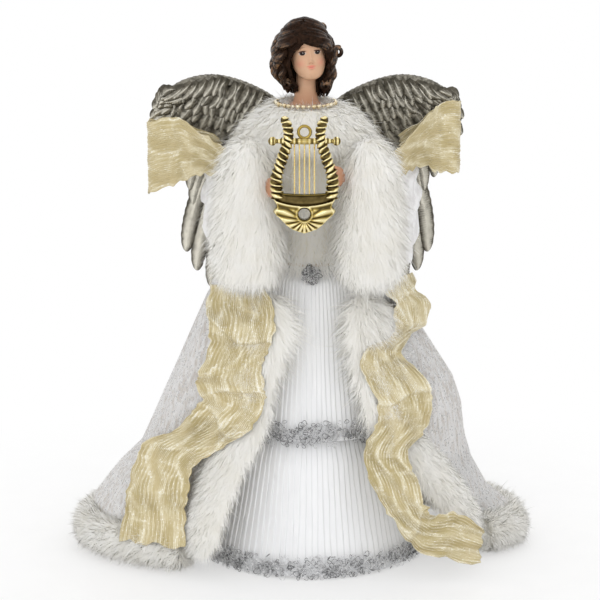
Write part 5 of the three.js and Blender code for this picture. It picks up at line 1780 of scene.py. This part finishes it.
def front_at(side, x, height):
    """How far forward the skirt, the fur band, the coat or its hem reaches."""
    reach = abs(x)
    edge_x, edge_y = abs(lookup(fur_edges[side], height, 1)), lookup(fur_edges[side], height, 2)
    band_x, band_y = abs(lookup(band_rows[side], height, 1)), lookup(band_rows[side], height, 2)
    on_skirt = -math.sqrt(max(trimmed_skirt_radius_at(height) ** 2 - reach**2, 0))
    half_width = coat_half_width_at(side, height)
    first = math.acos(min(edge_x / half_width, 1))
    roll = hem_fur_radius if height < coat_hem_height + tail_lift else 0
    on_coat = edge_y * math.sin(math.acos(min(reach / half_width, 1))) / max(math.sin(first), 0.001) - roll
    across_share = (reach - band_x) / (edge_x - band_x)
    if across_share < -1:
        return on_skirt
    if across_share > beside_share:
        return on_coat
    on_band = band_y + min(across_share, 1) * (edge_y - band_y) - front_fur_half_depth
    return min(on_skirt, on_band, on_coat if across_share > 0 else 0)


def ribbon_tail(side, name, seed):
    reach = coat_half_width_left if side < 0 else coat_half_width_right
    pairs = []
    for inner_x, inner_z, outer_x, outer_z, swing in tail_shares[side]:
        edges = []
        for x_share, z_share in ((inner_x, inner_z), (outer_x, outer_z)):
            x, height = side * reach * x_share, tail_top_height * z_share
            front = min(front_at(side, x, height + step) for step in (-tail_sweep, 0, tail_sweep))
            edges.append([x, front, height])
        foremost = min(edge[1] for edge in edges)
        flatness = min(swing / loose_share, 1)
        for edge in edges:
            edge[1] = mix(edge[1], foremost, flatness) - tail_swing * swing - tail_lift
        pairs.append(edges if side < 0 else edges[::-1])
    grid, places, shade, flat = crinkled(pairs, seed, 420, lap_shares[side])
    made, area = cloth_piece("lame_tail_" + name, grid, lame, ribbon_cloth, places, shade)
    dress(made, "crinkled_ribbon", "ribbon_tail_" + name)


for side, name in both_sides:
    ribbon_loop(side, name, 91 + side)
    ribbon_tail(side, name, 96 + side)


# The wings: long ribbed feathers under rows of short ones, on a scaled leading edge
# Rows of reach share and drop share
wing_arm_shares = [[0.085, 0.33], [0.19, 0.18], [0.38, 0.09], [0.62, 0.04], [0.8, 0.055], [0.93, 0.1]]
feather_tip_shares = [
    [1, 0.115], [1.02, 0.19], [0.99, 0.32], [0.87, 0.48], [0.8, 0.54], [0.78, 0.61],
    [0.83, 0.83], [0.76, 0.92], [0.66, 1], [0.58, 0.87],
]


def feather(root, tip, half_width, seed, bend=0.02, droop=0.0, glow=0.0, step=feather_step):
    """A flat feather with a raised shaft and slanting barbs on both faces, and its ridges' brightness."""
    random = np.random.default_rng(seed)
    length = np.linalg.norm(tip - root)
    rows, columns = max(int(length / step), 12), 15
    along, across = np.linspace(0, 1, rows)[:, None], np.linspace(-1, 1, columns)
    side = unit(np.cross(tip - root, -forward))
    elbow = (root + tip) / 2 + [(tip[0] - root[0]) * droop, 0, (root[2] - tip[2]) * droop * 0.4]
    line = root * (1 - along) ** 2 + elbow * 2 * along * (1 - along) + tip * along**2
    line = line + side * np.sin(along * math.pi) * bend * length
    blunt = max(length / feather_tip_length, 4)
    width = half_width * np.minimum(1, 0.5 + along * 1.4) * np.sqrt(np.clip(1 - along**blunt, 0, 1))
    nick = 1 + 0.03 * np.sin(along * length / barb_spacing * 1.4 + random.uniform(0, 6))
    barb = np.sin(full_turn * (along * length - np.abs(across) * width * 0.8) / barb_spacing)
    shaft = np.exp(-((across / 0.13) ** 2)) * np.clip(1.15 - along, 0, 1)
    dome = 1 - across**2
    ridge = np.clip(0.26 + 0.34 * barb + 0.42 * dome * along**2 + glow, 0, 1) * (1 - shaft) + shaft
    height = feather_half_depth * (0.9 * dome + 0.35 * shaft)
    height = (height + barb_height * barb * np.clip(1.1 - np.abs(across), 0, 1))[..., None]
    place = line[:, None] + side * (across * width * nick)[..., None]
    loop = np.concatenate([place + forward * height, (place - forward * height * 0.8)[:, ::-1]], 1)
    shade = ridge * (1 - 0.75 * np.abs(across) ** 3) * mix(0.3, 1, smooth_share(along * 2.2))
    return (loop, tube_faces(rows, columns * 2)), np.concatenate([shade, shade[:, ::-1]], 1).ravel()


def wing_point(side, reach_share, drop_share):
    return np.array([
        wing_centre + side * wing_reach * reach_share,
        wing_plane_back - wing_sweep_forward * reach_share**2,
        wing_top_height - wing_tip_drop * drop_share,
    ])


def tip_at(side, share, inward=1, upward=1):
    """A place on the outline of the wing's feather tips, or a little inside it."""
    tips = np.array(feather_tip_shares)
    reach, drop = (np.interp(share * (len(tips) - 1), np.arange(len(tips)), column) for column in tips.T)
    return wing_point(side, reach * inward, drop * upward)


def long_feathers(side, arm, seed):
    """The long feathers behind the rows of short ones; every second one is further back and shorter."""
    parts = []
    count = len(feather_tip_shares) * 2 - 1
    for place in range(count):
        share = place / (count - 1)
        between = place % 2
        layer = -forward * mix(feather_back, between_feather_back, between)
        root = arm[int(mix(0.62, 0.2, share) * (len(arm) - 1))] + layer
        tip = tip_at(side, share, mix(1, 0.93, between), mix(1, 0.95, between)) + layer
        width = feather_half_width * mix(0.9, 1.08, share)
        droop = 0.42 * smooth_share(share * 3)
        parts.append(feather(root, tip, width, seed + place, droop=droop, glow=0.24))
    return parts


def coverts(side, arm, seed):
    """Rows of short feathers that lie over each other, each row nearer the front than the one below it."""
    random = np.random.default_rng(seed)
    parts = []
    for row in range(covert_rows):
        row_share = row / (covert_rows - 1)
        total = 19 + row % 2
        for place in range(total):
            share = (place + 0.5 * (row % 2)) / (total - 1)
            root = arm[int(mix(0.94, 0.1, min(share, 1)) * (len(arm) - 1))]
            tip = tip_at(side, share)
            run, span = unit(tip - root), np.linalg.norm(tip - root)
            start = mix(-0.045, 0.4, row_share) * mix(0.8, 1.05, share) + random.normal() * 0.012
            size = mix(covert_top_length, covert_low_length, row_share**1.4) * mix(1.5, 0.85, share)
            layer = forward * mix(covert_top_stand, covert_low_stand, row_share)
            first = root + run * (start * min(span, covert_spread)) + layer
            last = first + run * min(size, span * 0.8) + forward * covert_tip_stand
            width = mix(covert_half_width, feather_half_width, row_share)
            own_seed = seed + 50 + row * 30 + place
            bend = random.normal() * 0.09
            parts.append(feather(first, last, width, own_seed, bend=bend, step=covert_step))
    return parts


def wing(side, name, seed):
    steps, sides = 200, 20
    arm = even_spline([wing_point(side, *row) for row in wing_arm_shares], steps)
    wide = mix(wing_arm_root_radius, wing_arm_tip_radius, np.linspace(0, 1, steps))
    radii = np.stack([wide, np.full(steps, wing_arm_half_depth)], -1)
    scales = 1 + 0.07 * np.sin(np.arange(steps)[:, None] * 0.9 + 3 * np.sin(turns(sides) * 3))
    rings = tube(arm, radii, sides, -forward, growth=scales)
    parts = long_feathers(side, arm, seed) + coverts(side, arm, seed)
    parts.append(((rings, tube_faces(steps, sides)), np.full(steps * sides, 0.4)))
    points, faces = gather([part for part, _ in parts])
    shade = np.concatenate([shade for _, shade in parts])
    made = mesh_object("plume_" + name, points, faces, pewter, shade=shade)
    dress(made, "antique_silver", "wing_" + name)


wing(-1, "left", 101)
wing(1, "right", 401)


# The lyre: rope-twisted arms, a fluted sound box, a turned cross-bar and a ring
lyre_arm_shares = [[0.86, 0.3], [0.89, 0.47], [0.71, 0.63], [0.51, 0.8], [0.56, 0.92], [0.7, 0.985]]
sound_box_shares = [
    [0, 0], [0.45, 0.045], [0.8, 0.13], [1, 0.19], [0.9, 0.235], [1, 0.3], [0.93, 0.36], [0.66, 0.345],
    [0, 0.335],
]
hole_height_share = 0.17
crossbar_share = 0.78
# Rows of the cross-bar's length share, from its middle outward, and its radius share
turning_shares = [
    [0, 1], [0.66, 1], [0.7, 1.35], [0.74, 1], [0.8, 0.75], [0.86, 0.8], [0.9, 1.1], [0.94, 1.5], [1, 1.55],
    [1.06, 1.35], [1.1, 0.9], [1.13, 0.1],
]


def box_reach(turn):
    """How far the sound box's outline is from its hole at each angle."""
    outline = np.array(sound_box_shares) * [lyre_half_width, lyre_height]
    half = spline(np.pad(outline, ((0, 0), (0, 1))), np.linspace(0, 1, 200))[:, :2]
    whole = np.concatenate([half, (half * [-1, 1])[::-1][1:-1]]) - [0, lyre_height * hole_height_share]
    angles = np.arctan2(whole[:, 1], whole[:, 0])
    order = np.argsort(angles)
    return np.interp(turn, angles[order], np.linalg.norm(whole[order], axis=1), period=full_turn)


def sound_box():
    """The box is dished above its hole and fluted like a shell below it."""
    count = 300
    turn = turns(count) - math.pi
    share = np.concatenate([np.linspace(0, 0.9, 40), [0.94, 0.97, 0.99, 1.0]])
    radius = lyre_hole_radius + (box_reach(turn) - lyre_hole_radius)[:, None] * share
    x, z = np.cos(turn)[:, None] * radius, np.sin(turn)[:, None] * radius
    wide, high, far = x / lyre_half_width, z / lyre_hole_radius, radius / lyre_hole_radius
    rim = np.clip(1 - share**10, 0, 1) ** 0.5
    collar = 0.8 * np.exp(-(((far - 1.3) / 0.2) ** 2))
    edge_bead = np.exp(-(((share - 0.93) / 0.04) ** 2))
    lip = high - 1.32 - 1.0 * wide**2
    dish = smooth_share(lip / 0.35) * (1 - np.exp(-(((share - 1) / 0.1) ** 2)))
    bow = np.exp(-((lip / 0.3) ** 2))
    fan = np.abs(np.cos(np.arctan2(x, z + lyre_hole_radius) * 8)) * smooth_share((1.2 - high) / 0.6)
    fan = fan * (1 - np.exp(-(((far - 1) / 0.7) ** 2)))
    boss = 1.3 * np.exp(-((wide / 0.12) ** 2) - ((high + 2.05) / 0.5) ** 2)
    relief = lyre_relief * (collar + edge_bead * 0.8 + fan + boss + bow * 0.8 - dish * 2.2)
    # The tone is pale on the collar, the edge bead, the flutes, the boss and the lip: painted highlights;
    # it is dark in the dish: a painted dark reflection.
    tone = 0.16 + collar * 0.6 + edge_bead * 0.6 + fan * 0.8 + boss * 0.5 + bow * 0.8 - dish * 0.55
    height = z + lyre_height * hole_height_share
    front = np.stack([x, -(lyre_depth / 2 + relief) * rim, height], -1)
    back = np.stack([x, np.broadcast_to(lyre_depth / 2 * rim, x.shape), height], -1)[:, ::-1][:, 1:]
    loop = np.concatenate([front, back], 1) + [lyre_centre, -lyre_forward, lyre_base_height]
    tones = np.concatenate([np.clip(tone, 0, 1), np.full(back.shape[:2], 0.6)], 1)
    return (loop, tube_faces(count, loop.shape[1], wraps=True)), tones.ravel()


def lyre_arm(side):
    """One arm, twisted like a rope."""
    steps, sides = 260, 32
    line = even_spline([
        [lyre_centre + side * lyre_half_width * wide, -lyre_forward, lyre_base_height + lyre_height * high]
        for wide, high in lyre_arm_shares
    ], steps)
    share = np.linspace(0, 1, steps)
    radius = lyre_arm_radius * mix(1.12, 0.82, share) * np.sqrt(np.clip(1 - (share * 0.995) ** 30, 0.02, 1))
    row = np.arange(steps)[:, None]
    lobe = np.abs(np.cos(turns(sides) + side * (row * 0.19 + np.sin(row * 0.31) * 0.4)))
    rings = tube(line, radius, sides, -forward, growth=0.72 + 0.45 * lobe**0.8)
    # The lobes of the twist get pale tones and the grooves between them dark ones: painted highlights and
    # painted dark reflections.
    return (rings, tube_faces(steps, sides)), np.clip(lobe**3 * 1.1, 0, 1).ravel()


def crossbar(height):
    """The bar is turned, with ribs along its middle and a knob at each end."""
    steps, sides = 240, 24
    turning = np.array(turning_shares)
    table = np.concatenate([turning[::-1] * [-1, 1], turning[1:]])
    place, size, _ = spline(np.pad(table, ((0, 0), (0, 1))), np.linspace(0, 1, steps)).T
    line = np.stack([
        lyre_centre + place * crossbar_half_length, np.full(steps, -lyre_forward), np.full(steps, height)
    ], -1)
    ribs = np.abs(np.sin(place * 26))
    ribbed = np.maximum(size, 0.05) * (0.92 + 0.2 * ribs * (np.abs(place) < 0.66))
    rings = tube(line, crossbar_radius * ribbed, sides, -down)
    # The tone is pale on each rib: painted highlights along the bar.
    return (rings, tube_faces(steps, sides)), np.repeat(np.clip(0.1 + 0.85 * ribs, 0, 1), sides)


def lyre_ring(height):
    steps, sides = 48, 12
    upright = spokes(turns(steps))[:, [0, 2, 1]]
    line = upright * lyre_ring_radius + [lyre_centre, -lyre_forward, height]
    rings = tube(line, lyre_ring_wire, sides, -forward, wraps=True)
    return (rings, tube_faces(steps, sides, wraps=True)), np.full(steps * sides, 0.6)


def lyre():
    bar_height = lyre_base_height + lyre_height * crossbar_share
    parts = [sound_box()] + [lyre_arm(side) for side, _ in both_sides]
    parts += [crossbar(bar_height), lyre_ring(bar_height + crossbar_radius + lyre_ring_radius)]
    points, faces = gather([part for part, _ in parts])
    tones = np.concatenate([tone for _, tone in parts])
    dress(mesh_object("lyre_casting", points, faces, gold, shade=tones), "plated_gold", "lyre_frame")


lyre()


# The camera, lamps, floor and background
# Each lamp's place and size as shares of the camera's distance, and its power in watts
lamp_shares = [
    ["key", (-0.655, -1.092, 0.946), 0.8, 2.5],
    ["fill", (0.946, -0.946, 0.509), 0.8, 1.5],
    ["front", (-0.364, -1.383, 0.218), 0.946, 3],
    ["crown", (0.146, 0.655, 1.237), 0.655, 2.5],
]


def stage_paint():
    """White floor that keeps the object's shadow near it and fades to the white background further off."""
    paint = Paint("pale_floor", roughness=0.9)
    grain = paint.noise(30, 3)
    paint.put("Base Color", paint.blend(paint.spread(grain, 0.3, 0.7), (0.9, 0.9, 0.9), (0.93, 0.93, 0.93)))
    rays = [paint.ray(kind) for kind in ("Camera", "Glossy", "Transmission")]
    seen = paint.calc("MAXIMUM", paint.calc("MAXIMUM", rays[0], rays[1]), rays[2])
    distance = paint.vector("LENGTH", paint.place("Object"), out=1)
    glow = paint.node("Emission", {"Color": (1, 1, 1, 1), "Strength": 1.0})
    share = paint.spread(distance, floor_shadow_reach, floor_fade_reach, 0.5, 1)
    paint.mix_in(paint.times(seen, share), glow)
    return paint.material


def sky():
    """A white background. It lights the object a little less than it shows."""
    world = bpy.data.worlds.new("studio")
    world.use_nodes = True
    bpy.context.scene.world = world
    tree = world.node_tree
    paths = tree.nodes.new("ShaderNodeLightPath")
    seen = paths.outputs["Is Camera Ray"]
    for kind in ("Glossy", "Transmission"):
        either = tree.nodes.new("ShaderNodeMath")
        either.operation = "MAXIMUM"
        tree.links.new(seen, either.inputs[0])
        tree.links.new(paths.outputs[f"Is {kind} Ray"], either.inputs[1])
        seen = either.outputs[0]
    strength = tree.nodes.new("ShaderNodeMapRange")
    strength.inputs[3].default_value = sky_light
    strength.inputs[4].default_value = 1.0
    tree.links.new(seen, strength.inputs[0])
    background = tree.nodes["Background"]
    background.inputs[0].default_value = (1, 1, 1, 1)
    tree.links.new(strength.outputs[0], background.inputs[1])


def lamps():
    for name, place_shares, size_share, power in lamp_shares:
        lamp = bpy.data.lights.new(name, "AREA")
        lamp.shape = "DISK"
        lamp.size = camera_distance * size_share
        lamp.energy = power
        made = linked(name, lamp)
        made.location = Vector(place_shares) * camera_distance
        aim = Vector((0, 0, waist_height)) - made.location
        made.rotation_euler = aim.to_track_quat("-Z", "Y").to_euler()


def camera():
    lens = bpy.data.cameras.new("camera")
    lens.lens = camera_lens
    lens.sensor_width = camera_sensor
    lens.clip_end = 20 * camera_distance
    made = linked("camera", lens)
    back = Vector((0, -math.cos(camera_elevation), math.sin(camera_elevation)))
    made.location = camera_target + back * camera_distance
    made.rotation_euler = (-back).to_track_quat("-Z", "Y").to_euler()
    bpy.context.scene.camera = made
    bpy.context.scene.view_settings.view_transform = "Standard"


def stage():
    corners = np.array([[-1, -1, 0], [1, -1, 0], [1, 1, 0], [-1, 1, 0]]) * floor_reach + down * floor_drop
    floor = mesh_object("floor", corners, [np.array([[0, 1, 2, 3]])], stage_paint(), smooth=False)
    sky()
    lamps()
    camera()


stage()

bpy.context.view_layer.update()
